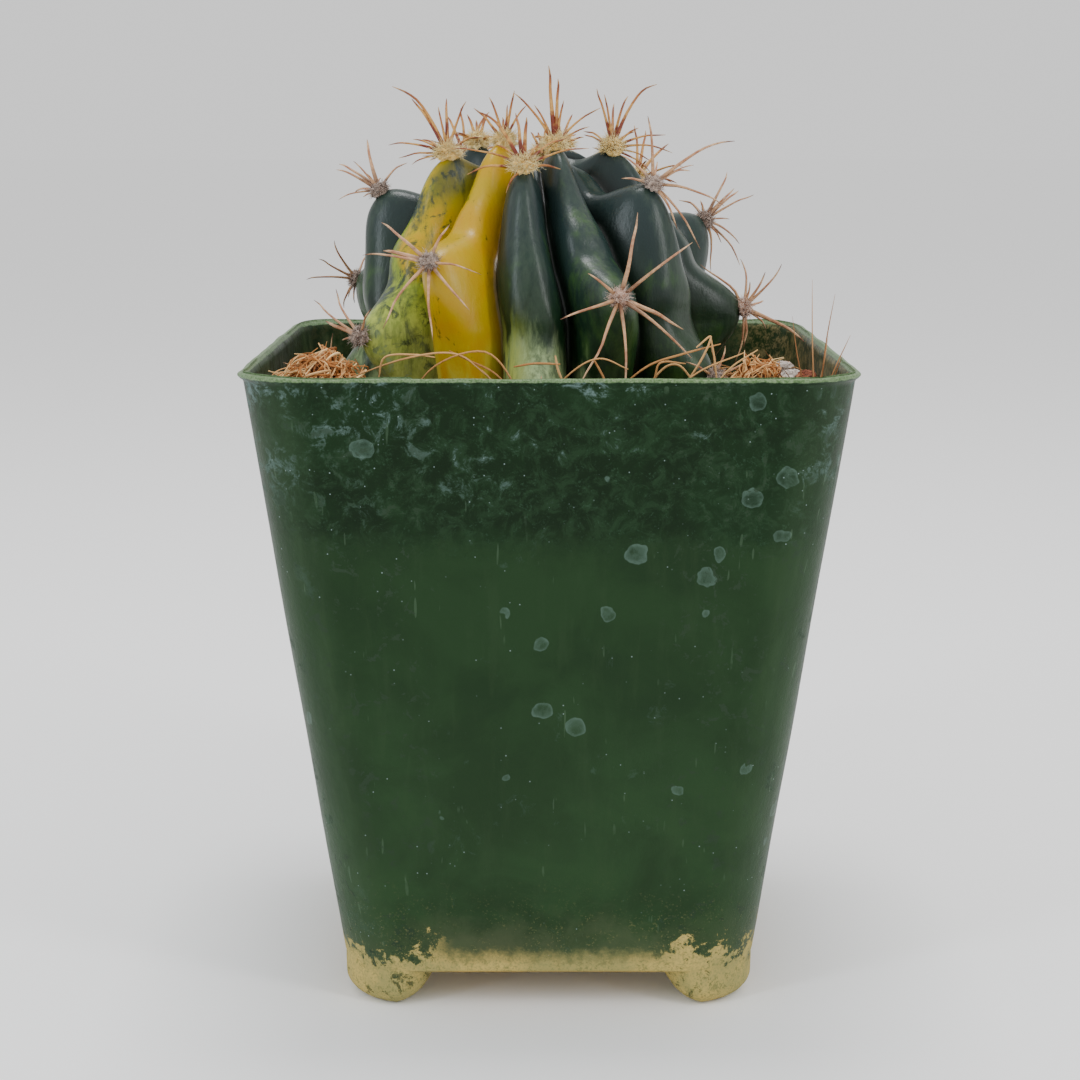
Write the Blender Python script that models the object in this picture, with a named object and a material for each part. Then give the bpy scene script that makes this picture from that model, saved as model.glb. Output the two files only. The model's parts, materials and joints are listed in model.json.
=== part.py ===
"""A round cactus in its square nursery pot, in metres, +Z up.

The origin is the middle of the base, on the surface that the four feet stand on. The front of the
pot faces -Y. The pot is one moulding with a lip, hollow feet and drain holes. It holds the potting
mix, in which the stem and its taproot sit, with pumice stones, coir and a bark chip on top. The
stem has thirteen ribs, and each areole on them is a pad of wool with its own star of spines.
"""

import math
import random

import bmesh
import bpy
from mathutils import Quaternion
from mathutils import Vector
from mathutils import noise
from mathutils.bvhtree import BVHTree
from mathutils.geometry import intersect_line_line
from mathutils.geometry import intersect_point_line

MM = 0.001
GAP = 0.3 * MM             # left between pieces that touch
SEED = 5

# Pot
RIM_WIDTH = 89.0 * MM      # across the lip
POT_HEIGHT = 98.0 * MM
BASE_WIDTH = 63.6 * MM     # across the walls at the floor
WALL = 0.9 * MM
WALL_BULGE = 0.75 * MM     # how far each wall bows out at half height
LIP_OVERHANG = 0.6 * MM
LIP_HEIGHT = 1.2 * MM
LIP_UNDER = 0.7              # share of the lip's height, from its top down to where it is widest
LIP_EDGE = 0.2               # and from its top down to where its edge begins to round
RIM_CORNER = 10.0 * MM
BASE_CORNER = 11.0 * MM
FLOOR_THICKNESS = 1.0 * MM
FLOOR_EDGE = 0.5 * MM       # the slope between wall and floor
FOOT_HEIGHT = 5.8 * MM
FOOT_WIDTH = 13.5 * MM
FOOT_FLAT = 7.0 * MM       # across the flat that a foot stands on
FOOT_ROUNDNESS = 0.8       # corner radius of a foot against half its width
FOOT_STEPS = 4
DRAIN_RADIUS = 3.0 * MM
DRAIN_SPREAD = 10.5 * MM   # along x and along y, from the middle to the outer drain holes
CORNER_STEPS = 5
SIDE_POINTS = 3            # points along each straight side, between its corners
WALL_LEVELS = 5

# Potting mix
MIX_DEPTH = 9.0 * MM       # from the lip down to the mix
MIX_UNEVEN = 0.8 * MM

# Stem
STEM_X = -1.9 * MM
STEM_Y = 0.4 * MM
STEM_ABOVE_RIM = 4.6 * MM  # from the lip up to the stem's widest level
STEM_RADIUS = 27.6 * MM    # at the widest level, between the tubercles
STEM_RISE = 21.5 * MM      # from the widest level to the middle of the crown
STEM_BELOW = 30.0 * MM     # from the widest level down to the root collar
COLLAR_RADIUS = 7.0 * MM
SQUARENESS = 2.3           # exponent of the crown's outline: 2 is an ellipse
RIBS = 13
RIB_DEPTH = 5.6 * MM
RIB_ROUNDNESS = 3.0        # exponent of the rib's cross-section
FULL_RIBS = 0.62           # share of the stem's radius from which the furrows have their full depth
FIRST_RIB = -26.9          # degrees round from the front, turning to +X
CROWN_TWIST = -7.7         # degrees that the ribs swing by, from the widest level to the crown
RIB_SWING = (0, 0, -5, 1, 1, 1, 1, 1, 1, 1, -3, 1, 1)   # degrees that each rib stands off even spacing
COLUMNS_PER_RIB = 6
STEM_ROWS = 30

# Areoles, counted from the youngest, which is nearest the middle of the crown
AREOLES = 25
RIB_STEP = 5               # each areole is this many ribs round from the one before it
AREOLE_START = 2.8 * MM    # along the outline, from the middle of the crown to the youngest areole
AREOLE_STEP = 2.0 * MM    # along the outline, from one areole to the next
RIB_DROP = (5, -2.2, 0.5, -4.4, -4, -3.5, 0, 0, 0, 0, 2.8, -0.5, 1)   # mm further along, by rib
AREOLE_SHIFT = {21: 6.0, 13: -2.5, 18: 1.0, 19: 1.5}   # mm further along, for a few areoles
YOUNG_NOSE = 6.5 * MM      # height of the tubercle under a young areole
OLD_NOSE = 4.6 * MM
NOSE_WIDTH = 3.0 * MM
OLD_NOSE_WIDTH = 4.0 * MM
NOSE_SHELF = 4.2 * MM      # how fast a tubercle falls away above its tip
NOSE_CHIN = 6.5 * MM       # and below it
NOTCH = 1.0 * MM           # depth of the nick above each shelf
NOTCH_PLACE = 8.0 * MM     # from the nick down to the tip
NOTCH_LENGTH = 3.0 * MM
PAD_RADIUS = 1.9 * MM
PAD_HEIGHT = 1.5 * MM
YOUNG_PAD = 0.8            # size of the youngest pad against a grown one

# Spines
SPINE_RADIUS = 0.36 * MM
SPINE_TIP = 0.12 * MM
RADIAL_LENGTH = 8.5 * MM
CENTRAL_LENGTH = 11.0 * MM
RADIAL_LIFT = 17.0         # degrees that a radial spine stands off the stem
WALL_ROOM = 0.8 * MM       # between a spine and the pot or the mix
WATERING_CORNER = 27.0 * MM   # past this, the two rear corners are kept clear to water into

# Taproot
ROOT_LENGTH = 44.0 * MM
ROOT_TIP = 1.6 * MM

# Loose pieces on the mix
FIBRE_RADIUS = 0.21 * MM
STONES = (                 # the side that it lies at, mm in from that wall, mm along it, radius in mm
    ("right", 3.5, -3.0, 3.4),
    ("left", 2.2, 7.0, 2.6),
    ("back", 4.2, -19.0, 3.9),
    ("back", 3.2, 15.0, 3.1),
    ("right", 3.2, 13.0, 3.0),
    ("left", 4.3, 19.5, 3.3),
)
COIR_ABOVE_LIP = 2.5 * MM
COIR_LEFT = (8.8, 11.8, 17.0, 20.0)     # mm in from the left and front walls, width and depth
COIR_RIGHT = (11.8, 7.8, 13.0, 14.0)    # mm in from the right and front walls, width and depth
BARK_CHIP = (3.3, 23.8, 7.0, 9.0, 6.8)  # mm in from the right and front walls, width, depth, height
DRY_TUFT = (3.5, 11.2)                  # mm in from the right and front walls
FIBRE_ROUTES = {                        # mm along the front wall, in from it, and up from the lip
    "coir_fibre_1": [(-21, 2, -5), (-16, 2, 1.5), (-9, 2, 3.5), (-5, 2, -1), (-4, 1.2, -6)],
    "coir_fibre_2": [(-2, 2.2, -5), (3, 2.5, 0.5), (7, 2.5, 2.5), (11, 2.5, 1)],
    "coir_fibre_3": [(12, 2.7, -6), (15, 3.5, 0), (18, 3.5, 1.5), (21, 3.2, -2)],
    "coir_fibre_4": [(14, 0.8, -6), (20, 1.2, 0.3), (27, 1, 3.5)],
}

STEM_LEVEL = POT_HEIGHT + STEM_ABOVE_RIM
MIX_LEVEL = POT_HEIGHT - MIX_DEPTH
FLOOR_LEVEL = FOOT_HEIGHT + FLOOR_THICKNESS


def clear_scene():
    for obj in list(bpy.data.objects):
        bpy.data.objects.remove(obj)


def material(name, colour, roughness, metallic=0.0):
    made = bpy.data.materials.new(name)
    made.use_nodes = True
    shader = made.node_tree.nodes["Principled BSDF"]
    shader.inputs["Base Color"].default_value = (*colour, 1.0)
    shader.inputs["Roughness"].default_value = roughness
    shader.inputs["Metallic"].default_value = metallic
    return made


def add_object(name, bm, finish=None, sharp=math.radians(40)):
    """Makes an object of the bmesh, shaded smooth. With no finish it is a helper for a Boolean."""
    bmesh.ops.recalc_face_normals(bm, faces=bm.faces)
    mesh = bpy.data.meshes.new(name)
    bm.to_mesh(mesh)
    bm.free()
    mesh.shade_smooth()
    mesh.set_sharp_from_angle(angle=sharp)
    obj = bpy.data.objects.new(name, mesh)
    bpy.context.scene.collection.objects.link(obj)
    if finish:
        mesh.materials.append(finish)
    else:
        obj.hide_render = True
        obj.display_type = "WIRE"
    return obj


def boolean(obj, tool, operation):
    modifier = obj.modifiers.new(tool.name, "BOOLEAN")
    modifier.operation = operation
    modifier.solver = "EXACT"
    modifier.object = tool


def loft(bm, rings, close_first=True, close_last=True):
    """Skins a row of rings that have the same number of points, and closes its two ends."""
    loops = [[bm.verts.new(point) for point in ring] for ring in rings]
    for lower, upper in zip(loops, loops[1:]):
        for i in range(len(lower)):
            j = (i + 1) % len(lower)
            bm.faces.new((lower[i], lower[j], upper[j], upper[i]))
    if close_first:
        bm.faces.new(reversed(loops[0]))
    if close_last:
        bm.faces.new(loops[-1])
    return loops


def mix_values(low, high, share):
    return low + (high - low) * share


# ---- Pot

def square_ring(half, corner, z, bulge=0.0, centre=(0.0, 0.0), side_points=SIDE_POINTS):
    """A square with round corners, whose straight sides bow out by the bulge."""
    straight = half - corner
    ring = []
    for side in range(4):
        turn = side * math.pi / 2
        for i in range(side_points):
            across = straight * (2 * (i + 1) / (side_points + 1) - 1)
            bow = bulge * (1 - (across / straight) ** 2)
            ring.append((half + bow, across, turn))
        for i in range(CORNER_STEPS + 1):
            angle = math.pi / 2 * i / CORNER_STEPS
            x = straight + corner * math.cos(angle)
            y = straight + corner * math.sin(angle)
            ring.append((x, y, turn))
    points = []
    for x, y, turn in ring:
        turned_x = x * math.cos(turn) - y * math.sin(turn)
        turned_y = x * math.sin(turn) + y * math.cos(turn)
        points.append(Vector((centre[0] + turned_x, centre[1] + turned_y, z)))
    return points


def wall_half(z):
    """Half the pot's outer width at a height, without the bulge."""
    share = (z - FOOT_HEIGHT) / (POT_HEIGHT - FOOT_HEIGHT)
    return mix_values(BASE_WIDTH / 2, RIM_WIDTH / 2 - LIP_OVERHANG, share)


def wall_ring(z, inset):
    """The pot's wall at a height, inset from its outer face."""
    share = (z - FOOT_HEIGHT) / (POT_HEIGHT - FOOT_HEIGHT)
    corner = mix_values(BASE_CORNER, RIM_CORNER, share)
    bulge = WALL_BULGE * 4 * share * (1 - share)
    return square_ring(wall_half(z) - inset, corner - inset, z, bulge)


def wall_rings(low, high, inset):
    """Rings up the wall, the lowest drawn in by the slope to the floor."""
    first = wall_ring(low, inset + FLOOR_EDGE)
    start = low + FLOOR_EDGE
    levels = [mix_values(start, high, i / WALL_LEVELS) for i in range(WALL_LEVELS + 1)]
    return [first] + [wall_ring(z, inset) for z in levels]


def pot_outside():
    bm = bmesh.new()
    rings = wall_rings(FOOT_HEIGHT, POT_HEIGHT - LIP_HEIGHT, 0.0)
    lip_half = RIM_WIDTH / 2
    lip_corner = RIM_CORNER + LIP_OVERHANG
    rings.append(square_ring(lip_half, lip_corner, POT_HEIGHT - LIP_HEIGHT * LIP_UNDER))
    rings.append(square_ring(lip_half, lip_corner, POT_HEIGHT - LIP_HEIGHT * LIP_EDGE))
    rings.append(square_ring(lip_half - LIP_OVERHANG / 2, lip_corner, POT_HEIGHT))
    loft(bm, rings)
    return bm


def corner_reach(half, corner):
    """From the middle of a round-cornered square out to its corner, along the diagonal."""
    return (half - corner) * math.sqrt(2) + corner


def foot_place():
    """Where a foot stands, in x and in y: its corner meets the edge of the floor."""
    floor = corner_reach(BASE_WIDTH / 2, BASE_CORNER) - FLOOR_EDGE
    foot = corner_reach(FOOT_WIDTH / 2, FOOT_WIDTH / 2 * FOOT_ROUNDNESS)
    return (floor - foot) / math.sqrt(2)


def feet(inset, top):
    """The four feet as solids, inset from their outer faces, each with a flat sole."""
    bm = bmesh.new()
    place = foot_place()
    for x in (-place, place):
        for y in (-place, place):
            rings = []
            for i in range(FOOT_STEPS + 1):
                share = i / FOOT_STEPS
                flare = math.sin(share * math.pi / 2)
                half = mix_values(FOOT_FLAT, FOOT_WIDTH, flare) / 2 - inset
                z = mix_values(inset, FOOT_HEIGHT, 1 - math.cos(share * math.pi / 2))
                rings.append(square_ring(half, half * FOOT_ROUNDNESS, z, 0.0, (x, y), 1))
            rings.append([Vector((p.x, p.y, top)) for p in rings[-1]])
            loft(bm, rings)
    return bm


def drain_holes():
    bm = bmesh.new()
    spread = (-DRAIN_SPREAD, DRAIN_SPREAD)
    centres = [(0.0, 0.0)] + [(x, y) for x in spread for y in spread]
    for x, y in centres:
        rings = []
        for z in (FOOT_HEIGHT - DRAIN_RADIUS, FLOOR_LEVEL + DRAIN_RADIUS):
            turns = [math.tau * i / 16 for i in range(16)]
            ring = [(x + DRAIN_RADIUS * math.cos(a), y + DRAIN_RADIUS * math.sin(a), z) for a in turns]
            rings.append(ring)
        loft(bm, rings)
    return bm


def make_pot():
    pot = add_object("pot", pot_outside(), material("green_plastic", (0.04, 0.073, 0.034), 0.5))
    middle_of_floor = FOOT_HEIGHT + FLOOR_THICKNESS / 2
    boolean(pot, add_object("feet_outside", feet(0.0, middle_of_floor)), "UNION")
    inside = bmesh.new()
    loft(inside, wall_rings(FLOOR_LEVEL, POT_HEIGHT + WALL, WALL))
    boolean(pot, add_object("pot_inside", inside), "DIFFERENCE")
    boolean(pot, add_object("feet_inside", feet(WALL, FLOOR_LEVEL + WALL)), "DIFFERENCE")
    boolean(pot, add_object("drain_cutters", drain_holes()), "DIFFERENCE")


# ---- Stem

def outline(distance):
    """Radius, height and outward normal of the stem's outline, by distance from the crown's middle."""
    for i, (start, radius, height) in enumerate(OUTLINE[1:], 1):
        if start >= distance or i == len(OUTLINE) - 1:
            break
    last_start, last_radius, last_height = OUTLINE[i - 1]
    share = (distance - last_start) / (start - last_start)
    along_radius = (radius - last_radius) / (start - last_start)
    along_height = (height - last_height) / (start - last_start)
    place = (mix_values(last_radius, radius, share), mix_values(last_height, height, share))
    return place, (-along_height, along_radius)


def outline_points():
    """The crown as a quarter of a superellipse, then the base as part of an ellipse."""
    steps = 48
    points = []
    for i in range(steps + 1):
        angle = math.pi / 2 * i / steps
        radius = STEM_RADIUS * math.sin(angle) ** (2 / SQUARENESS)
        height = STEM_LEVEL + STEM_RISE * math.cos(angle) ** (2 / SQUARENESS)
        points.append((radius, height))
    last_angle = math.acos(COLLAR_RADIUS / STEM_RADIUS)
    for i in range(1, steps + 1):
        angle = last_angle * i / steps
        radius = STEM_RADIUS * math.cos(angle)
        height = STEM_LEVEL - STEM_BELOW * math.sin(angle) / math.sin(last_angle)
        points.append((radius, height))
    table = [(0.0, *points[0])]
    for before, after in zip(points, points[1:]):
        table.append((table[-1][0] + math.dist(before, after), *after))
    return table


OUTLINE = outline_points()


def areole_distance(number):
    """How far along the outline an areole stands, from the middle of the crown."""
    shift = RIB_DROP[number * RIB_STEP % RIBS] + AREOLE_SHIFT.get(number, 0.0)
    return AREOLE_START + AREOLE_STEP * number + shift * MM


def rib_swing(position):
    rib = math.floor(position)
    return mix_values(RIB_SWING[rib % RIBS], RIB_SWING[(rib + 1) % RIBS], position - rib)


def rib_azimuth(position, height):
    """Azimuth in radians at a position among the ribs, where a whole number is a rib's ridge."""
    twist = CROWN_TWIST * max(0.0, height - STEM_LEVEL) / STEM_RISE
    return math.radians(FIRST_RIB + position * 360 / RIBS + rib_swing(position) + twist)


def noses(distance, position, radius):
    """Height that the tubercles add, each with a shelf above its tip and a notch above the shelf."""
    height = 0.0
    for number in range(AREOLES):
        apart = (position - number * RIB_STEP) * math.tau / RIBS
        across = 2 * radius * abs(math.sin(apart / 2))
        along = distance - areole_distance(number)
        tall = mix_values(OLD_NOSE, YOUNG_NOSE, math.exp(-((number / 9) ** 2)))
        wide = mix_values(NOSE_WIDTH, OLD_NOSE_WIDTH, min(1.0, number / 14))
        reach = NOSE_SHELF if along < 0 else NOSE_CHIN
        height += tall * math.exp(-((across / wide) ** 2) - (along / reach) ** 2)
        past_notch = (along + NOTCH_PLACE) / NOTCH_LENGTH
        height -= NOTCH * math.exp(-((across / wide / 1.3) ** 2) - past_notch ** 2)
    return height


def stem_rise(distance, position):
    """How far the skin stands off the smooth outline, with its furrows and tubercles."""
    (radius, _), _ = outline(distance)
    off_ridge = abs(position - round(position)) * 2
    room = min(1.0, radius / (FULL_RIBS * STEM_RADIUS)) ** 1.3
    furrow = RIB_DEPTH * room * off_ridge ** RIB_ROUNDNESS
    return noses(distance, position, radius) - furrow


def stem_point(distance, position):
    """A point of the stem's skin, with the outward normal of the smooth outline."""
    (radius, height), (out_radius, out_height) = outline(distance)
    rise = stem_rise(distance, position)
    azimuth = rib_azimuth(position, height)
    radius += rise * out_radius
    height += rise * out_height
    point = Vector((STEM_X + radius * math.sin(azimuth), STEM_Y - radius * math.cos(azimuth), height))
    normal = Vector((out_radius * math.sin(azimuth), -out_radius * math.cos(azimuth), out_height))
    return point, normal


def make_stem():
    bm = bmesh.new()
    length = OUTLINE[-1][0]
    columns = RIBS * COLUMNS_PER_RIB
    rings = []
    for row in range(1, STEM_ROWS + 1):
        distance = length * row / STEM_ROWS
        rings.append([stem_point(distance, i / COLUMNS_PER_RIB)[0] for i in range(columns)])
    innermost = loft(bm, rings, close_first=False)[0]
    crown = bm.verts.new(stem_point(0.0, 0.0)[0])
    for i in range(columns):
        bm.faces.new((innermost[(i + 1) % columns], innermost[i], crown))
    return add_object("stem", bm, material("stem_skin", (0.075, 0.115, 0.075), 0.45), math.pi)


def root_radius(share):
    return mix_values(COLLAR_RADIUS, ROOT_TIP, share ** 0.7)


def root_rings(outset, steps=8, sides=16):
    """Rings down the taproot, which bends a little on its way."""
    rings = []
    top = STEM_LEVEL - STEM_BELOW - GAP
    for i in range(steps + 1):
        share = i / steps
        x = STEM_X + 2.5 * MM * math.sin(share * 3.0)
        y = STEM_Y + 1.5 * MM * math.sin(share * 4.5)
        radius = root_radius(share) + outset
        z = top - (ROOT_LENGTH + outset) * share
        turns = [math.tau * j / sides for j in range(sides)]
        rings.append([Vector((x + radius * math.cos(a), y + radius * math.sin(a), z)) for a in turns])
    return rings


def make_taproot():
    bm = bmesh.new()
    loft(bm, root_rings(0.0))
    add_object("taproot", bm, material("root_bark", (0.33, 0.24, 0.15), 0.85))


# ---- Potting mix

def mix_height(x, y):
    return MIX_LEVEL + MIX_UNEVEN * noise.noise(Vector((x, y, 0.0)) / (9 * MM))


def make_mix():
    """The mix fills the pot and its feet, with a bowl for the stem's base and a hole for the root."""
    bm = bmesh.new()
    inset = WALL + GAP
    rings = wall_rings(FLOOR_LEVEL + GAP, MIX_LEVEL, inset)
    wall = rings[-1]
    azimuths = [math.atan2(point.x - STEM_X, STEM_Y - point.y) for point in wall]
    bowl = [bowl_point(BOWL_START, azimuth) for azimuth in azimuths]
    for share in (0.25, 0.5, 0.75, 1.0):
        flat = [outer.lerp(inner, share) for outer, inner in zip(wall, bowl)]
        rings.append([Vector((point.x, point.y, mix_height(point.x, point.y))) for point in flat])
    length = OUTLINE[-1][0]
    steps = 9
    for i in range(1, steps + 1):
        distance = mix_values(BOWL_START, length, i / steps)
        rings.append([bowl_point(distance, azimuth) for azimuth in azimuths])
    loft(bm, rings)
    mix = add_object("potting_mix", bm, material("potting_mix", (0.06, 0.045, 0.032), 0.95))
    boolean(mix, add_object("mix_in_feet", feet(inset, FLOOR_LEVEL + 2 * MM)), "UNION")
    hole = bmesh.new()
    rings = root_rings(GAP)
    rings.insert(0, [point + Vector((0, 0, 3 * MM)) for point in rings[0]])
    loft(hole, rings)
    boolean(mix, add_object("root_cutter", hole), "DIFFERENCE")


def bowl_point(distance, azimuth):
    """A point of the bowl in the mix. It clears the stem's ridges and tubercles near it."""
    (radius, height), (out_radius, out_height) = outline(distance)
    position = (math.degrees(azimuth) - FIRST_RIB) * RIBS / 360
    position -= rib_swing(position) * RIBS / 360
    near = [-0.5, -0.25, 0.0, 0.25, 0.5]
    ahead = [-4 * MM, -2 * MM, 0.0, 2 * MM, 4 * MM]
    rise = max(stem_rise(distance + d, position + p) for d in ahead for p in near) + BOWL_GAP
    reach = radius + rise * out_radius
    x = STEM_X + reach * math.sin(azimuth)
    y = STEM_Y - reach * math.cos(azimuth)
    return Vector((x, y, height + rise * out_height))


def bowl_start():
    """Distance along the outline to the level where the stem goes into the mix."""
    for distance, _, height in OUTLINE:
        if height < MIX_LEVEL:
            return distance
    return OUTLINE[-1][0]


BOWL_START = bowl_start()
BOWL_GAP = 3 * GAP


# ---- Room for the spines

def segment_distance(a, b, c, d):
    """Smallest distance between two straight segments."""
    nearest = [
        (a - on_segment(a, c, d)).length,
        (b - on_segment(b, c, d)).length,
        (c - on_segment(c, a, b)).length,
        (d - on_segment(d, a, b)).length,
    ]
    crossing = intersect_line_line(a, b, c, d)
    if crossing:
        on_first, on_second = crossing
        inside_first = (on_first - on_segment(on_first, a, b)).length < GAP / 10
        inside_second = (on_second - on_segment(on_second, c, d)).length < GAP / 10
        if inside_first and inside_second:
            nearest.append((on_first - on_second).length)
    return min(nearest)


def on_segment(point, a, b):
    closest, share = intersect_point_line(point, a, b)
    if share <= 0:
        return a
    return b if share >= 1 else closest


def inside_corners(point, half, corner):
    """True where a point is inside a square with round corners, seen from above."""
    past_x = max(0.0, abs(point.x) - (half - corner))
    past_y = max(0.0, abs(point.y) - (half - corner))
    return math.hypot(past_x, past_y) < corner


def off_pot_and_mix(point):
    """True where a spine at this point stands clear of the pot, the mix and the rear corners."""
    lip = point.z > POT_HEIGHT + WALL_ROOM
    half = RIM_WIDTH / 2 if lip else wall_half(min(point.z, POT_HEIGHT)) - WALL
    if not inside_corners(point, half - WALL_ROOM, RIM_CORNER - WALL_ROOM):
        return False
    if point.z < POT_HEIGHT and min(abs(point.x), point.y) > WATERING_CORNER:
        return False
    return point.z > MIX_LEVEL + MIX_UNEVEN + WALL_ROOM


def is_clear(start, end, radius, solids, taken):
    room = radius + GAP
    steps = 8
    for i in range(2, steps + 1):
        point = start.lerp(end, i / steps)
        if not off_pot_and_mix(point):
            return False
        for tree in solids:
            nearest, normal, _, distance = tree.find_nearest(point)
            if distance < room or (point - nearest).dot(normal) < 0:
                return False
    base = start.lerp(end, 0.3)
    return all(segment_distance(base, end, a, b) > room + r for a, b, r in taken)


def find_route(start, direction, axis, length, solids, taken):
    """Turns and shortens a spine until it is clear. It returns its end, or nothing where none fits."""
    for share in (1.0, 0.8, 0.6, 0.45):
        for degrees in (0, 9, -9, 18, -18):
            for lift in (0.0, 0.25, 0.5):
                turned = direction.copy()
                turned.rotate(axis_turn(axis, degrees))
                turned = (turned + axis * lift).normalized()
                end = start + turned * length * share
                if is_clear(start, end, SPINE_RADIUS, solids, taken):
                    return end
    return None


def axis_turn(axis, degrees):
    return Quaternion(axis, math.radians(degrees))


# ---- Areoles

def areole_frame(number, skin):
    """Centre of an areole's pad, its outward axis and its radius, clear of the stem's skin."""
    rib = number * RIB_STEP % RIBS
    distance = areole_distance(number)
    point, normal = stem_point(distance, rib)
    higher, _ = stem_point(max(0.0, distance - 4 * MM), rib)
    axis = (normal + 0.3 * (higher - point).normalized()).normalized()
    radius = PAD_RADIUS * mix_values(YOUNG_PAD, 1.0, min(1.0, number / 10))
    centre = point + axis * PAD_HEIGHT / 2
    while pad_room(centre, axis, radius, skin) < GAP:
        centre += axis * GAP / 4
    return centre, axis, radius


def pad_room(centre, axis, radius, skin):
    """Distance between the stem's skin and the underside of a pad."""
    flat = axis.orthogonal().normalized()
    least = 1.0
    for i in range(8):
        around = flat.copy()
        around.rotate(axis_turn(axis, i * 45))
        for out, down in ((1.0, 0.0), (0.9, 0.25), (0.5, 0.45), (0.0, 0.5)):
            point = centre + around * radius * out - axis * PAD_HEIGHT * down
            nearest, normal, _, distance = skin.find_nearest(point)
            side = 1 if (point - nearest).dot(normal) > 0 else -1
            least = min(least, distance * side)
    return least


def grow(bm, face, stations):
    """Extrudes a face through stations, each a centre, a direction and a radius."""
    for centre, direction, radius in stations:
        face = bmesh.ops.extrude_discrete_faces(bm, faces=[face])["faces"][0]
        middle = face.calc_center_median()
        for vert in face.verts:
            arm = vert.co - middle
            arm -= direction * arm.dot(direction)
            vert.co = centre + arm.normalized() * radius


def add_spine(bm, face, axis, lift, length, solids, taken):
    start = face.calc_center_median()
    outward = face.normal - axis * face.normal.dot(axis)
    outward.normalize()
    direction = outward * math.cos(lift) + axis * math.sin(lift)
    end = find_route(start, direction, axis, length, solids, taken)
    if end is None:
        return None
    along = (end - start).normalized()
    collar = start + along * SPINE_RADIUS * 2
    grow(bm, face, [(collar, along, SPINE_RADIUS), (end, along, SPINE_TIP)])
    return start.lerp(end, 0.3), end


def make_areole(name, frame, solids, taken, rng, finish, radials=8, centrals=3):
    """A pad of wool, with radial spines from the faces round its side and centrals from its top."""
    centre, axis, radius = frame
    bm = bmesh.new()
    bmesh.ops.create_icosphere(bm, subdivisions=1, radius=1.0)
    turn = axis.to_track_quat("Z", "Y")
    for vert in bm.verts:
        flat = Vector((vert.co.x * radius, vert.co.y * radius, vert.co.z * PAD_HEIGHT / 2))
        flat.rotate(turn)
        vert.co = centre + flat
    bm.normal_update()
    slopes = sorted(bm.faces, key=lambda face: (face.calc_center_median() - centre).dot(axis))
    under, middle = len(slopes) // 4, 3 * len(slopes) // 4
    around = slopes[under:middle]
    top = slopes[middle:]
    rng.shuffle(around)
    rng.shuffle(top)
    own = []
    for i, face in enumerate(around[:radials] + top[:centrals]):
        central = i >= radials
        lift = math.radians(rng.uniform(45, 75) if central else RADIAL_LIFT)
        length = CENTRAL_LENGTH if central else RADIAL_LENGTH
        length *= rng.uniform(0.75, 1.1)
        spine = add_spine(bm, face, axis, lift, length, solids, taken + own)
        if spine:
            own.append((*spine, SPINE_RADIUS))
    add_object(name, bm, finish)
    return own


def make_areoles(stem, loose):
    """All the areoles. Each spine keeps clear of the stem, the pads, the loose pieces and the others."""
    rng = random.Random(SEED)
    skin = tree_of(stem)
    solids = [skin] + [tree_of(obj) for obj in loose["solids"]]
    finish = material("spines", (0.36, 0.22, 0.16), 0.6)
    frames = [areole_frame(number, skin) for number in range(AREOLES)]
    taken = list(loose["fibres"])
    for number, frame in enumerate(frames):
        pads = [(c, c + a * GAP, r + GAP) for c, a, r in frames if c != frame[0]]
        taken += make_areole(f"areole_{number:02d}", frame, solids, taken + pads, rng, finish)
    rng_tuft = random.Random(SEED + 1)
    from_side, from_front = DRY_TUFT
    level = MIX_LEVEL + MIX_UNEVEN + GAP + PAD_HEIGHT / 2
    centre = Vector((off_wall(from_side), -off_wall(from_front), level))
    frame = (centre, Vector((0.1, -0.1, 1.0)).normalized(), PAD_RADIUS)
    finish = material("dry_spines", (0.16, 0.07, 0.035), 0.8)
    make_areole("dry_spine_tuft", frame, solids, taken, rng_tuft, finish, 3, 5)


def tree_of(obj):
    graph = bpy.context.evaluated_depsgraph_get()
    return BVHTree.FromObject(obj, graph)


# ---- Loose pieces

def off_wall(inset, level=MIX_LEVEL):
    """How far out from the middle a place is, that lies so many mm in from the wall's inner face."""
    return wall_half(level) - WALL - inset * MM


def lump(name, centre, size, finish, roughness=0.25, seed=0, detail=2):
    """A closed lump, uneven all over, inside the box of its size."""
    bm = bmesh.new()
    bmesh.ops.create_icosphere(bm, subdivisions=detail, radius=1.0)
    offset = Vector((seed * 7.3, seed * 3.1, 0.0))
    for vert in bm.verts:
        rise = 1 - roughness * (0.5 + 0.5 * noise.noise(vert.co * 1.6 + offset))
        vert.co = Vector([c + v * s / 2 * rise for c, v, s in zip(centre, vert.co, size)])
    return add_object(name, bm, finish)


def make_stones():
    """Pumice on the mix, each stone beside one of the walls."""
    finish = material("pumice", (0.55, 0.46, 0.42), 0.9)
    made = []
    for number, (wall, inset, along, radius) in enumerate(STONES, 1):
        out = off_wall(inset)
        places = {"left": (-out, along * MM), "right": (out, along * MM), "back": (along * MM, out)}
        x, y = places[wall]
        radius = radius * MM
        bottom = MIX_LEVEL + MIX_UNEVEN + GAP
        size = (2 * radius, 1.8 * radius, 1.5 * radius)
        centre = (x, y, bottom + size[2] / 2)
        made.append(lump(f"pumice_{number}", centre, size, finish, seed=number))
    return made


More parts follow.
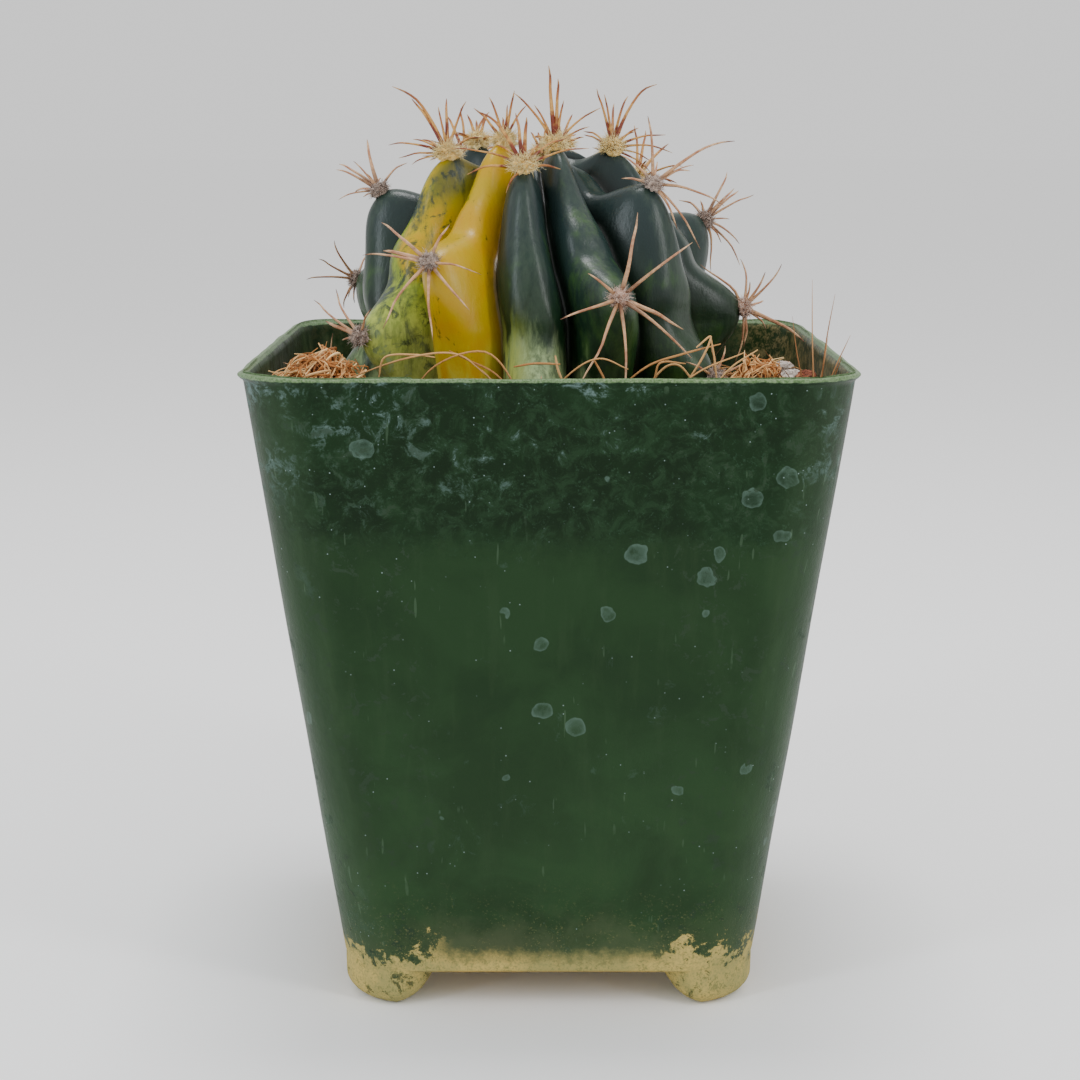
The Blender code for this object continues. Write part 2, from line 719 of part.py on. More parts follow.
def make_coir():
    """Two felted lumps of coir in the front corners."""
    finish = material("coir", (0.2, 0.13, 0.07), 0.95)
    bottom = MIX_LEVEL + MIX_UNEVEN + GAP
    height = POT_HEIGHT + COIR_ABOVE_LIP - MIX_LEVEL
    made = []
    for name, side, lay, seed in (("coir_left", -1, COIR_LEFT, 11), ("coir_right", 1, COIR_RIGHT, 12)):
        from_side, from_front, width, depth = lay
        centre = (side * off_wall(from_side), -off_wall(from_front), bottom + height / 2)
        made.append(lump(name, centre, (width * MM, depth * MM, height), finish, 0.3, seed))
    return made


def make_bark_chip():
    finish = material("bark", (0.22, 0.06, 0.035), 0.85)
    from_side, from_front, width, depth, height = BARK_CHIP
    bottom = MIX_LEVEL + MIX_UNEVEN + GAP
    centre = (off_wall(from_side), -off_wall(from_front), bottom + height / 2 * MM)
    return lump("bark_chip", centre, (width * MM, depth * MM, height * MM), finish, 0.35, 21)


def smooth_route(points, steps=5):
    """Points along a Catmull-Rom curve through the given ones."""
    ends = [points[0]] + points + [points[-1]]
    route = []
    for a, b, c, d in zip(ends, ends[1:], ends[2:], ends[3:]):
        for i in range(steps):
            t = i / steps
            bend = 2 * a - 5 * b + 4 * c - d
            route.append((2 * b + (c - a) * t + bend * t * t + (3 * b - 3 * c + d - a) * t ** 3) / 2)
    route.append(points[-1])
    return route


def fibre(name, points, finish):
    """One loose fibre along a smooth curve, with its route as segments for the spines to miss."""
    route = smooth_route([Vector(point) for point in points])
    curve = bpy.data.curves.new(name, "CURVE")
    curve.dimensions = "3D"
    curve.bevel_depth = FIBRE_RADIUS
    curve.bevel_resolution = 1
    curve.use_fill_caps = True
    spline = curve.splines.new("POLY")
    spline.points.add(len(route) - 1)
    for slot, point in zip(spline.points, route):
        slot.co = (*point, 1.0)
    curve.materials.append(finish)
    bpy.context.scene.collection.objects.link(bpy.data.objects.new(name, curve))
    return [(a, b, FIBRE_RADIUS) for a, b in zip(route, route[1:])]


def make_fibres():
    """Loose strands that arch up in front of the stem, just inside the front wall."""
    finish = material("coir_fibre", (0.35, 0.22, 0.11), 0.8)
    taken = []
    for name, route in FIBRE_ROUTES.items():
        points = []
        for x, inset, up in route:
            level = POT_HEIGHT + up * MM
            points.append((x * MM, -off_wall(inset, min(level, POT_HEIGHT)), level))
        taken += fibre(name, points, finish)
    return taken


def main():
    clear_scene()
    make_pot()
    make_mix()
    stem = make_stem()
    make_taproot()
    loose = {"solids": make_stones() + make_coir() + [make_bark_chip()], "fibres": make_fibres()}
    make_areoles(stem, loose)


main()
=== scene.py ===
# %% [markdown]
# # A round cactus in its nursery pot
#
# This lesson dresses a measured model of a potted cactus. The measured model, the frame, says where
# every piece is and how big it is. We keep those places and sizes, and we make the surfaces that
# people look at: the ribbed skin, the wool, the spines, the coarse mix and the worn green plastic.
# Everything is in metres, with +Z up and the front of the pot towards -Y.

# %% Load the frame
import json
import math
import random

import bmesh
import bpy
import numpy as np
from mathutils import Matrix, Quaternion, Vector, noise
from mathutils.bvhtree import BVHTree

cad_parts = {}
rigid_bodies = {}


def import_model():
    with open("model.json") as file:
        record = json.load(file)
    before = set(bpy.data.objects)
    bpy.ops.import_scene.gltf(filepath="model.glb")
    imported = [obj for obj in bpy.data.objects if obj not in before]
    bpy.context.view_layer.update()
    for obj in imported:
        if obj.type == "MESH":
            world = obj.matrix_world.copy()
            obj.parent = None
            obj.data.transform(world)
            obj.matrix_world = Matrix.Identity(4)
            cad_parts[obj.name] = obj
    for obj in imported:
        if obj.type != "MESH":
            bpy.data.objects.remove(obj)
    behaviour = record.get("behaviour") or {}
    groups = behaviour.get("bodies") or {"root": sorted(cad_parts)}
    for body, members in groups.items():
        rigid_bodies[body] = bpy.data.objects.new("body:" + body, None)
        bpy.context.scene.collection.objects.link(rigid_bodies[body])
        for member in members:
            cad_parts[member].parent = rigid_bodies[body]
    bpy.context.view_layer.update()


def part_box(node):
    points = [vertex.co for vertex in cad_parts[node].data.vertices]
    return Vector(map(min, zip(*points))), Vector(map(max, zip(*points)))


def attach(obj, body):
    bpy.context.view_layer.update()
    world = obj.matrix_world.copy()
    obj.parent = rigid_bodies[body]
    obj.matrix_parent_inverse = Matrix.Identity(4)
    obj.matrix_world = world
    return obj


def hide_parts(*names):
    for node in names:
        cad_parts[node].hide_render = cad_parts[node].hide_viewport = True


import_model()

MM = 0.001
pot_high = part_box("pot")[1]
mix_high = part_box("potting_mix")[1]

# %% [markdown]
# ## Small helpers for modelling
#
# An operator acts on all that is selected, and the frame arrives selected. So each step starts by
# selecting nothing. Faces and edges are then picked by their place, which is easier to read
# than a list of numbers and still holds when a size changes.

# %% Select, edit and finish
def select_nothing():
    if bpy.context.mode != "OBJECT":
        bpy.ops.object.mode_set(mode="OBJECT")
    bpy.ops.object.select_all(action="DESELECT")


def edit_only(piece):
    """Opens one piece in edit mode with nothing in it selected."""
    select_nothing()
    piece.select_set(True)
    bpy.context.view_layer.objects.active = piece
    bpy.ops.object.mode_set(mode="EDIT")
    bpy.ops.mesh.select_all(action="DESELECT")


def pick(piece, kind, test):
    """Selects the faces or the edges whose middle passes the test, in edit mode."""
    modes = {"faces": "FACE", "edges": "EDGE"}
    bpy.ops.mesh.select_mode(type=modes[kind])
    shape = bmesh.from_edit_mesh(piece.data)
    for part in getattr(shape, kind):
        if kind == "edges":
            middle = (part.verts[0].co + part.verts[1].co) / 2
        else:
            middle = part.calc_center_median()
        if test(middle, part):
            part.select_set(True)
    shape.select_flush_mode()
    bmesh.update_edit_mesh(piece.data)


def settle(piece):
    """Leaves edit mode and puts the piece's place into its mesh."""
    select_nothing()
    piece.select_set(True)
    bpy.context.view_layer.objects.active = piece
    bpy.ops.object.transform_apply(location=True, rotation=True, scale=True)
    select_nothing()
    return piece


def name_piece(name):
    piece = bpy.context.active_object
    piece.name = name
    piece.data.name = name
    return piece


def apply_modifier(piece, kind, **settings):
    select_nothing()
    piece.select_set(True)
    bpy.context.view_layer.objects.active = piece
    modifier = piece.modifiers.new(kind, kind)
    for key, value in settings.items():
        setattr(modifier, key, value)
    bpy.ops.object.modifier_apply(modifier=modifier.name)
    select_nothing()


def smooth(piece, degrees=40):
    select_nothing()
    piece.select_set(True)
    bpy.context.view_layer.objects.active = piece
    bpy.ops.object.shade_smooth_by_angle(angle=math.radians(degrees))
    select_nothing()


def points_of(piece):
    flat = np.empty(len(piece.data.vertices) * 3, np.float32)
    piece.data.vertices.foreach_get("co", flat)
    return flat.reshape(-1, 3).astype(float)


def put_points(piece, points):
    piece.data.vertices.foreach_set("co", np.asarray(points, np.float32).ravel())
    piece.data.update()


def paint(piece, name, values):
    """Stores one number per point, for the material to read."""
    layer = piece.data.attributes.new(name, "FLOAT", "POINT")
    layer.data.foreach_set("value", np.asarray(values, np.float32))


def dress(piece, finish, slot, *nodes):
    """Gives a finished piece its material and its body, and hides the nodes that it stands for. Its slot is
    not used.
    """
    piece.data.materials.clear()
    piece.data.materials.append(finish)
    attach(piece, "root")
    if nodes:
        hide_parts(*nodes)
    print(piece.name, "has", len(piece.data.polygons), "faces")


# %% [markdown]
# ## Shader maths as plain expressions
#
# A material is a little graph of nodes. Written link by link it is hard to follow, so one small
# class wraps a socket and lets us write `mask * 0.5 + edge`, which adds the Math nodes for us. A
# second holds a node that was just added, and a third holds a material and adds its nodes.

# %% A number in a material
class Number:
    """A socket that holds one number, with arithmetic that adds Math nodes."""

    def __init__(self, finish, socket):
        self.finish = finish
        self.socket = socket

    def math(self, operation, *others, clamp=False):
        settings = {"operation": operation, "use_clamp": clamp}
        inputs = {0: self, **{i: other for i, other in enumerate(others, 1)}}
        return self.finish.add("ShaderNodeMath", settings, inputs).number()

    def __add__(self, other):
        return self.math("ADD", other)

    def __sub__(self, other):
        return self.math("SUBTRACT", other)

    def __mul__(self, other):
        return self.math("MULTIPLY", other)

    def __truediv__(self, other):
        return self.math("DIVIDE", other)

    def __rsub__(self, other):
        return (self * -1.0) + other

    __radd__ = __add__
    __rmul__ = __mul__

    def between(self, low, high):
        """0 below low and 1 above high, with a soft step from one to the other."""
        settings = {"interpolation_type": "SMOOTHSTEP", "clamp": True}
        inputs = {"Value": self, "From Min": low, "From Max": high}
        return self.finish.add("ShaderNodeMapRange", settings, inputs).number()

    def clamped(self):
        return self.math("ADD", 0.0, clamp=True)


class Made:
    """A node that was just added, so that its outputs can be asked for."""

    def __init__(self, finish, node):
        self.finish = finish
        self.node = node

    def number(self, name=0):
        return Number(self.finish, self.node.outputs[name])

    def out(self, name=0):
        return self.node.outputs[name]


# %% A material
class Finish:
    """A material with one Principled shader. Its nodes are added by add()."""

    def __init__(self, name, roughness=0.5, **constants):
        self.material = bpy.data.materials.new(name)
        self.material.use_nodes = True
        self.tree = self.material.node_tree
        self.shader = self.tree.nodes["Principled BSDF"]
        self.shader.inputs["Roughness"].default_value = roughness
        for key, value in constants.items():
            self.shader.inputs[key.replace("_", " ")].default_value = value
        self.place = self.add("ShaderNodeTexCoord").out("Object")

    def add(self, kind, settings=None, inputs=None):
        node = self.tree.nodes.new(kind)
        for key, value in (settings or {}).items():
            if key == "stops":
                self.set_stops(node.color_ramp, value)
            else:
                setattr(node, key, value)
        for key, value in (inputs or {}).items():
            self.feed(node.inputs[key], value)
        return Made(self, node)

    def feed(self, socket, value):
        if isinstance(value, Number):
            value = value.socket
        if isinstance(value, bpy.types.NodeSocket):
            self.tree.links.new(value, socket)
        else:
            socket.default_value = value

    def set_stops(self, ramp, stops):
        while len(ramp.elements) > 1:
            ramp.elements.remove(ramp.elements[-1])
        for i, (position, colour) in enumerate(stops):
            element = ramp.elements[0] if i == 0 else ramp.elements.new(position)
            element.position = position
            element.color = (*colour, 1.0)

    def attribute(self, name):
        return self.add("ShaderNodeAttribute", {"attribute_name": name}).number("Fac")

    def stretched(self, scale, turn=(0.0, 0.0, 0.0)):
        """Object coordinates, scaled and turned."""
        inputs = {"Vector": self.place, "Scale": scale, "Rotation": turn}
        return self.add("ShaderNodeMapping", None, inputs).out()

    def noise(self, size, detail=4.0, roughness=0.55, warp=0.0, where=None):
        """Cloudy noise whose blotches are about that many metres across."""
        inputs = {"Vector": where or self.place, "Scale": 1.0 / size, "Detail": detail}
        inputs.update({"Roughness": roughness, "Distortion": warp})
        return self.add("ShaderNodeTexNoise", None, inputs).number("Fac")

    def cells(self, size, output="Distance", where=None):
        """Cells about that many metres across: the distance to the middle of each, or its colour."""
        inputs = {"Vector": where or self.place, "Scale": 1.0 / size}
        made = self.add("ShaderNodeTexVoronoi", None, inputs)
        return made.out(output) if output == "Color" else made.number(output)

    def axis(self, letter):
        made = self.add("ShaderNodeSeparateXYZ", None, {"Vector": self.place})
        return made.number("XYZ".index(letter))

    def blend(self, factor, first, second):
        """One colour over another. A colour may be three numbers or a socket."""
        settings = {"data_type": "RGBA", "blend_type": "MIX", "clamp_factor": True}
        made = self.add("ShaderNodeMix", settings, {0: factor})
        for socket, value in ((made.node.inputs[6], first), (made.node.inputs[7], second)):
            self.feed(socket, (*value, 1.0) if isinstance(value, tuple) else value)
        return made.out(2)

    def ramp(self, factor, stops):
        return self.add("ShaderNodeValToRGB", {"stops": stops}, {"Fac": factor}).out("Color")

    def bump(self, height, depth, normal=None):
        inputs = {"Height": height, "Strength": 1.0, "Distance": depth}
        if normal is not None:
            inputs["Normal"] = normal
        return self.add("ShaderNodeBump", None, inputs).out("Normal")

    def wear(self, **sockets):
        """Feeds the shader's own sockets."""
        for key, value in sockets.items():
            self.feed(self.shader.inputs[key.replace("_", " ")], value)
        return self.material


def shade(red, green, blue):
    """A colour picked on a screen, from 0 to 255, as the linear colour that a shader takes."""
    def linear(value):
        value /= 255
        return value / 12.92 if value <= 0.04045 else ((value + 0.055) / 1.055) ** 2.4
    return (linear(red), linear(green), linear(blue))

# %% [markdown]
# ## The stem
#
# A barrel cactus grows from the middle of its crown. Every new areole stands five ribs round from
# the one before it, so the thirteen ribs carry one long spiral of areoles. Under each areole the rib
# swells into a nose, a tubercle, with a shelf above it and a steep chin below. We could sculpt that
# by hand, but the plant follows a rule, so we take a sphere and move its points by the same rule
# that the frame was drawn with, and the areoles land where the frame has them.

# %% The stem's rule
STEM_X = -1.9 * MM
STEM_Y = 0.4 * MM
STEM_LEVEL = 102.6 * MM      # height of the stem's widest level
STEM_RADIUS = 27.6 * MM
STEM_RISE = 21.5 * MM
STEM_BELOW = 30.0 * MM
COLLAR_RADIUS = 7.0 * MM
SQUARENESS = 2.3
RIBS = 13
RIB_DEPTH = 5.6 * MM
RIB_ROUNDNESS = 3.0
FIRST_RIB = -26.9
CROWN_TWIST = -7.7
RIB_SWING = np.array([0, 0, -5, 1, 1, 1, 1, 1, 1, 1, -3, 1, 1], float)
RIB_DROP = np.array([5, -2.2, 0.5, -4.4, -4, -3.5, 0, 0, 0, 0, 2.8, -0.5, 1]) * MM
AREOLE_SHIFT = {21: 6.0 * MM, 13: -2.5 * MM, 18: 1.0 * MM, 19: 1.5 * MM}
AREOLES = 25
RIB_STEP = 5
AREOLE_START = 2.8 * MM
AREOLE_STEP = 2.0 * MM
YOUNG_NOSE = 6.5 * MM        # how far a young tubercle stands out
OLD_NOSE = 4.6 * MM
NOTCH = 1.0 * MM


def stem_outline():
    """Distance down the outline from the crown's middle, with radius and height."""
    angle = np.linspace(0, math.pi / 2, 60)
    radius = STEM_RADIUS * np.sin(angle) ** (2 / SQUARENESS)
    height = STEM_LEVEL + STEM_RISE * np.cos(angle) ** (2 / SQUARENESS)
    last = math.acos(COLLAR_RADIUS / STEM_RADIUS)
    under = np.linspace(0, last, 60)[1:]
    radius = np.append(radius, STEM_RADIUS * np.cos(under))
    height = np.append(height, STEM_LEVEL - STEM_BELOW * np.sin(under) / math.sin(last))
    distance = np.append(0, np.cumsum(np.hypot(np.diff(radius), np.diff(height))))
    return distance, radius, height


OUTLINE = stem_outline()


def areole_distance(number):
    shift = RIB_DROP[number * RIB_STEP % RIBS] + AREOLE_SHIFT.get(number, 0.0)
    return AREOLE_START + AREOLE_STEP * number + shift


def nose_height(number):
    return OLD_NOSE + (YOUNG_NOSE - OLD_NOSE) * math.exp(-((number / 9) ** 2))


def stem_skin(distance, position):
    """Points over the stem, by distance from the crown and position among the ribs.

    It also returns the outward normals of the smooth body, and how near each point is to a ridge,
    from 0 to 1.
    """
    way, radii, heights = OUTLINE
    radius = np.interp(distance, way, radii)
    height = np.interp(distance, way, heights)
    step = 0.5 * MM
    slope_r = np.interp(distance + step, way, radii) - np.interp(distance - step, way, radii)
    slope_h = np.interp(distance + step, way, heights) - np.interp(distance - step, way, heights)
    length = np.hypot(slope_r, slope_h)
    out_r, out_h = -slope_h / length, slope_r / length
    rib = np.round(position)
    off_ridge = np.clip(np.abs(position - rib) * 2, 0, 1)
    room = np.clip(radius / (0.62 * STEM_RADIUS), 0, 1) ** 1.3
    crest = 1 - off_ridge ** RIB_ROUNDNESS
    rise = (crest - 1) * RIB_DEPTH * room
    for number in range(AREOLES):
        apart = (position - number * RIB_STEP) * math.tau / RIBS
        across = 2 * radius * np.abs(np.sin(apart / 2))
        along = distance - areole_distance(number)
        wide = (3.0 + min(1.0, number / 14)) * MM
        reach = np.where(along < 0, 4.2, 6.5) * MM
        beside = np.exp(-((across / wide) ** 2))
        nose = beside * np.exp(-((along / reach) ** 2))
        rise += nose * nose_height(number)
        rise -= NOTCH * np.exp(-((across / wide / 1.3) ** 2) - ((along + 8 * MM) / (3 * MM)) ** 2)
    swing = np.interp(position % RIBS, np.arange(RIBS + 1), np.append(RIB_SWING, RIB_SWING[0]))
    twist = CROWN_TWIST * np.clip(height - STEM_LEVEL, 0, None) / STEM_RISE
    azimuth = np.radians(FIRST_RIB + position * 360 / RIBS + swing + twist)
    side, ahead = np.sin(azimuth), -np.cos(azimuth)
    spread = radius + rise * out_r
    points = np.stack([STEM_X + spread * side, STEM_Y + spread * ahead, height + rise * out_h], 1)
    normals = np.stack([out_r * side, out_r * ahead, out_h], 1)
    return points, normals, crest


print("the outline is", round(OUTLINE[0][-1] / MM, 1), "mm long")

# %% [markdown]
# The sphere's rings become rings round the stem and its meridians become lines along the ribs, with
# twenty of them to a rib so that the furrows stay narrow. The bottom of the sphere goes down to the
# root collar, inside the mix.

# %% Shape the stem
COLUMNS = RIBS * 20
RINGS = 150
select_nothing()
bpy.ops.mesh.primitive_uv_sphere_add(segments=COLUMNS, ring_count=RINGS, radius=STEM_RADIUS)
stem = name_piece("ribbed_stem")
ball = points_of(stem)
polar = np.arccos(np.clip(ball[:, 2] / np.linalg.norm(ball, axis=1), -1, 1))
turned = np.arctan2(ball[:, 0], -ball[:, 1])
down = polar / math.pi * OUTLINE[0][-1]
among = (turned / math.tau * RIBS) % RIBS
skin_points, skin_normals, crest = stem_skin(down, among)
lumps = np.array([noise.noise(Vector(p) / (7 * MM)) for p in skin_points])
skin_points += skin_normals * (lumps * 0.35 * MM)[:, None]
put_points(stem, skin_points)
smooth(stem, 180)

# %% [markdown]
# The plant is variegated: one rib has lost nearly all its green and is bright yellow, the next is
# mottled, and the others are dark with a grey bloom. Those borders follow the ribs, so we store them
# on the points, and the material breaks their edges up with noise.

# %% Mark the ribs
from_yellow = (among + RIBS / 2) % RIBS - RIBS / 2      # 0 on the yellow rib, joined at the back
PALE_FEET = {0: 0.5, 1: 0.9, 2: 0.1, 3: 0.05, 4: 0.2, 10: 0.5, 11: 0.3, 12: 0.9}
tone_of_rib = np.array([random.Random(rib).random() for rib in range(RIBS)])
pale_of_rib = np.array([PALE_FEET.get(rib, 0.3) for rib in range(RIBS)])


def along_ribs(values):
    """A value for each rib, carried over smoothly from one rib to the next."""
    return np.interp(among % RIBS, np.arange(RIBS + 1), np.append(values, values[0]))


paint(stem, "from_yellow", from_yellow)
paint(stem, "crest", crest)
paint(stem, "rib_tone", along_ribs(tone_of_rib))
paint(stem, "pale_foot", along_ribs(pale_of_rib))
paint(stem, "level", (skin_points[:, 2] - mix_high[2]) / MM)
print("points on the yellow rib:", int((np.abs(from_yellow) < 0.5).sum()))


# %% [markdown]
# The skin is dark green under a waxy grey-blue bloom that is thickest on the young growth. The
# ridges carry paler fine streaks, partly wear and partly a painted highlight, and the furrows are
# darkened with painted shade. Near the mix the skin is old, paler and finely streaked along the rib.
# The yellow shows through where the plant has no green, and dark flecks cross it.

# %% The skin's material
def skin_finish():
    skin = Finish("stem_skin", 0.4, Specular_IOR_Level=0.34)
    crest_mark = skin.attribute("crest")
    level = skin.attribute("level")              # mm above the mix
    around = skin.attribute("from_yellow")
    tone = skin.attribute("rib_tone")
    pale_foot = skin.attribute("pale_foot")
    upright = skin.stretched((1.0, 1.0, 0.3))
    clouds = skin.noise(9 * MM, 5.0, 0.6, 0.4)
    streaks = skin.noise(3.2 * MM, 6.0, 0.65, 0.3, upright)
    fine_streaks = skin.noise(0.9 * MM, 5.0, 0.7, 0.2, upright)
    flecks = skin.noise(0.8 * MM, 3.0, 0.6)

    # dark green under a blue-grey bloom that is thickest near the crown
    green = skin.blend(clouds.between(0.35, 0.65), shade(10, 34, 12), shade(24, 50, 24))
    bloom = (level / 34.0 + tone * 0.3 + streaks * 0.5 - 0.5).between(0.1, 0.8)
    green = skin.blend(bloom * 0.8, green, shade(30, 44, 46))
    light_green = (streaks * 0.7 + clouds * 0.5 + tone * 0.15 - level / 250.0).between(0.6, 0.8)
    green = skin.blend(light_green * 0.6, green, shade(56, 88, 30))
    # the ridges get paler fine streaks: partly wear, partly a painted highlight along the crest
    worn = (crest_mark.between(0.8, 1.0) * 0.35 + fine_streaks * 0.6).between(0.5, 0.75)
    green = skin.blend(worn * 0.2, green, shade(80, 96, 76))
    old = (1.0 - level / 15.0 + (streaks - 0.5) * 1.6 + pale_foot - 0.66).between(0.1, 0.7)
    streaky = fine_streaks.between(0.35, 0.6) * 0.6 + 0.35
    green = skin.blend(old * streaky * pale_foot.between(0.0, 0.5), green, shade(150, 170, 118))
    # painted shade: the furrows between the ribs are darkened nearly to black
    green = skin.blend((1 - crest_mark).between(0.3, 0.85) * 0.88, green, shade(3, 10, 3))

    # the yellow rib, and its mottled neighbour on the left
    golden = skin.blend(clouds.between(0.3, 0.7), shade(180, 134, 0), shade(174, 146, 0))
    paling = (1 - level.between(4.0, 15.0)) * streaks.between(0.4, 0.6)
    golden = skin.blend(paling * 0.75, golden, shade(184, 182, 70))
    # painted shade: the yellow darkens to brown towards the furrows
    golden = skin.blend((1 - crest_mark).between(0.5, 1.0) * 0.6, golden, shade(110, 76, 2))
    pale = skin.blend(level.between(6.0, 24.0), shade(176, 188, 96), shade(136, 152, 4))
    pale = skin.blend(fine_streaks.between(0.35, 0.65) * 0.55, pale, shade(84, 108, 28))
    mottle = skin.noise(4.5 * MM, 7.0, 0.68, 0.9, upright)
    place = around + (mottle - 0.5) * 0.14
    on_yellow = place.between(-0.56, -0.46) * (1 - place.between(0.44, 0.54))
    on_left = place.between(-1.54, -1.44) * (1 - place.between(-0.56, -0.46))
    lit_side = (around + 1.45).between(0.1, 0.75)
    blotch = skin.noise(3.4 * MM, 7.0, 0.7, 0.6)
    left_bare = on_left * (mottle * 0.8 + lit_side * 0.16 + (flecks - 0.5) * 0.16).between(0.4, 0.58)
    left_bare = left_bare * (1 - blotch.between(0.54, 0.62) * 0.85)
    left_bare = left_bare * (1 - level.between(29.0, 34.0) * (around + 0.95).between(-0.1, 0.15) * 0.8)
    ripening = level.between(16.0, 26.0) * 0.35 + lit_side * 0.45 + clouds * 0.3
    left_gold = left_bare * ripening.between(0.66, 0.84)
    spill = place.between(0.44, 0.54) * (1 - place.between(0.7, 1.0)) * (1 - level.between(5.0, 20.0))
    spill = spill * mottle.between(0.42, 0.52)
    dark_spot = (mottle + (flecks - 0.5) * 0.2).between(0.62, 0.66) * on_yellow
    shoulder = on_yellow * level.between(24.0, 30.0) * (1 - (around + 0.5).between(0.1, 0.5))

    colour = skin.blend(left_bare, green, pale)
    colour = skin.blend(spill, colour, pale)
    colour = skin.blend(left_gold, colour, golden)
    colour = skin.blend(on_yellow, colour, golden)
    colour = skin.blend(dark_spot * 0.7, colour, shade(50, 66, 12))
    colour = skin.blend(shoulder * mottle.between(0.44, 0.6) * 0.8, colour, shade(96, 116, 24))
    colour = skin.blend((flecks - 0.2 * clouds).between(0.52, 0.6) * 0.12, colour, shade(12, 24, 10))

    fine = skin.noise(0.35 * MM, 2.0, 0.5)
    wrinkles = skin.noise(1.6 * MM, 4.0, 0.6, 0.2, upright)
    normal = skin.bump(wrinkles * 0.8 + fine * 0.15, 0.13 * MM)
    roughness = 0.25 + streaks * 0.16 + old * 0.2
    return skin.wear(Base_Color=colour, Roughness=roughness, Normal=normal)


dress(stem, skin_finish(), "stem_skin", "stem")

# %% [markdown]
# ## One strand, bent many ways
#
# Spines, wool and coir are all thin tapering strands. We model a strand once, straight and one unit
# long, and copy its points along a route. The frame of each step is carried on from the last one, so
# a copy never twists.

# %% The straight strands
def straight_strand(sides, rows):
    """A closed tube of radius 1 along +Z, from 0 to 1, cut into rows."""
    select_nothing()
    bpy.ops.mesh.primitive_cylinder_add(vertices=sides, radius=1.0, depth=1.0, location=(0, 0, 0.5))
    strand = name_piece("straight_strand")
    edit_only(strand)
    for row in range(1, rows):
        bpy.ops.mesh.select_all(action="SELECT")
        bpy.ops.mesh.bisect(plane_co=(0, 0, row / rows), plane_no=(0, 0, 1))
    settle(strand)
    points = points_of(strand)
    faces = [tuple(face.vertices) for face in strand.data.polygons]
    bpy.data.objects.remove(strand)
    return points, faces


SPINE_STRAND = straight_strand(7, 9)
FIBRE_STRAND = straight_strand(5, 8)
LONG_STRAND = straight_strand(6, 24)
HAIR_STRAND = straight_strand(3, 3)
for kind, strand in (("spine", SPINE_STRAND), ("fibre", FIBRE_STRAND), ("hair", HAIR_STRAND)):
    print("faces in a", kind, len(strand[1]))


# %% Bend a strand along a route
def smooth_route(points, steps):
    """Points along a smooth curve through the given ones, evenly counted."""
    points = np.asarray(points, float)
    ends = np.vstack([2 * points[0] - points[1], points, 2 * points[-1] - points[-2]])
    route = []
    for t in np.linspace(0, len(points) - 1, steps):
        i = min(int(t), len(points) - 2)
        a, b, c, d = ends[i:i + 4]
        u = t - i
        bend = 2 * a - 5 * b + 4 * c - d
        route.append((2 * b + (c - a) * u + bend * u ** 2 + (3 * b - 3 * c + d - a) * u ** 3) / 2)
    return np.array(route)


def bent(strand, route, radius, taper):
    """A strand's points along a route. taper(share) gives its thickness from 0 to 1."""
    points, faces = strand
    heights = np.unique(np.round(points[:, 2], 4))
    stations = smooth_route(route, len(heights))
    ahead = np.gradient(stations, axis=0)
    ahead /= np.linalg.norm(ahead, axis=1)[:, None]
    side = np.cross(ahead[0], (0.31, 0.87, 0.38))
    placed = np.empty_like(points)
    rows = np.searchsorted(heights, np.round(points[:, 2], 4))
    for row, height in enumerate(heights):
        side = side - ahead[row] * side.dot(ahead[row])
        side /= np.linalg.norm(side)
        other = np.cross(ahead[row], side)
        mine = rows == row
        flat = points[mine][:, :2] * radius * taper(height)
        placed[mine] = stations[row] + flat[:, :1] * side + flat[:, 1:] * other
    return placed, faces, points[:, 2]


class Bundle:
    """Gathers many strands or grains and makes one piece of them."""

    def __init__(self):
        self.points, self.faces, self.marks = [], [], []
        self.count = 0

    def add(self, points, faces, along, tone):
        self.points.append(points)
        self.faces += [tuple(i + self.count for i in face) for face in faces]
        self.marks.append(np.stack([np.broadcast_to(along, len(points)), np.full(len(points), tone)], 1))
        self.count += len(points)

    def piece(self, name, degrees=60):
        mesh = bpy.data.meshes.new(name)
        mesh.from_pydata(np.concatenate(self.points).tolist(), [], self.faces)
        made = bpy.data.objects.new(name, mesh)
        bpy.context.scene.collection.objects.link(made)
        marks = np.concatenate(self.marks)
        paint(made, "along", marks[:, 0])
        paint(made, "tone", marks[:, 1])
        smooth(made, degrees)
        return made


# %% [markdown]
# ## Areoles: wool and spines
#
# An areole is a felt pad that keeps its wool while its spines harden and fade. Young ones at the
# crown have cream wool and red-brown spines with tan bands, and older ones have grey wool, or pink
# on two of them, and pale spines. The pads that people see best have their spines placed one by one,
# as they stand on the plant. The pads round the back get theirs by the plant's own habit: a star of
# radials with a few stouter centrals.

# %% Where each areole stands
def areole_place(number):
    """The middle of an areole on the skin, and the way that it faces."""
    rib = number * RIB_STEP % RIBS
    way = np.array([areole_distance(number), max(0.0, areole_distance(number) - 4 * MM)])
    points, normals, _ = stem_skin(way, np.array([float(rib), float(rib)]))
    climb = (points[1] - points[0]) / np.linalg.norm(points[1] - points[0])
    axis = normals[0] + 0.3 * climb
    return points[0], axis / np.linalg.norm(axis)


PLACES = [areole_place(number) for number in range(AREOLES)]
far_off = 0.0
for number, (place, axis) in enumerate(PLACES):
    low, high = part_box(f"areole_{number:02d}")
    outside = max(max(low[i] - place[i], place[i] - high[i]) for i in range(3))
    far_off = max(far_off, outside)
print("farthest that a pad stands outside its node's box, in mm:", round(far_off / MM, 2))

# %% [markdown]
# Each spine is written as where its tip stands from its areole, in mm: to the right and up, as seen
# from the front, then its thickness at the base. A fourth number hooks the tip over, to the right
# where it is positive. How far it comes forward follows from the way that the areole faces.

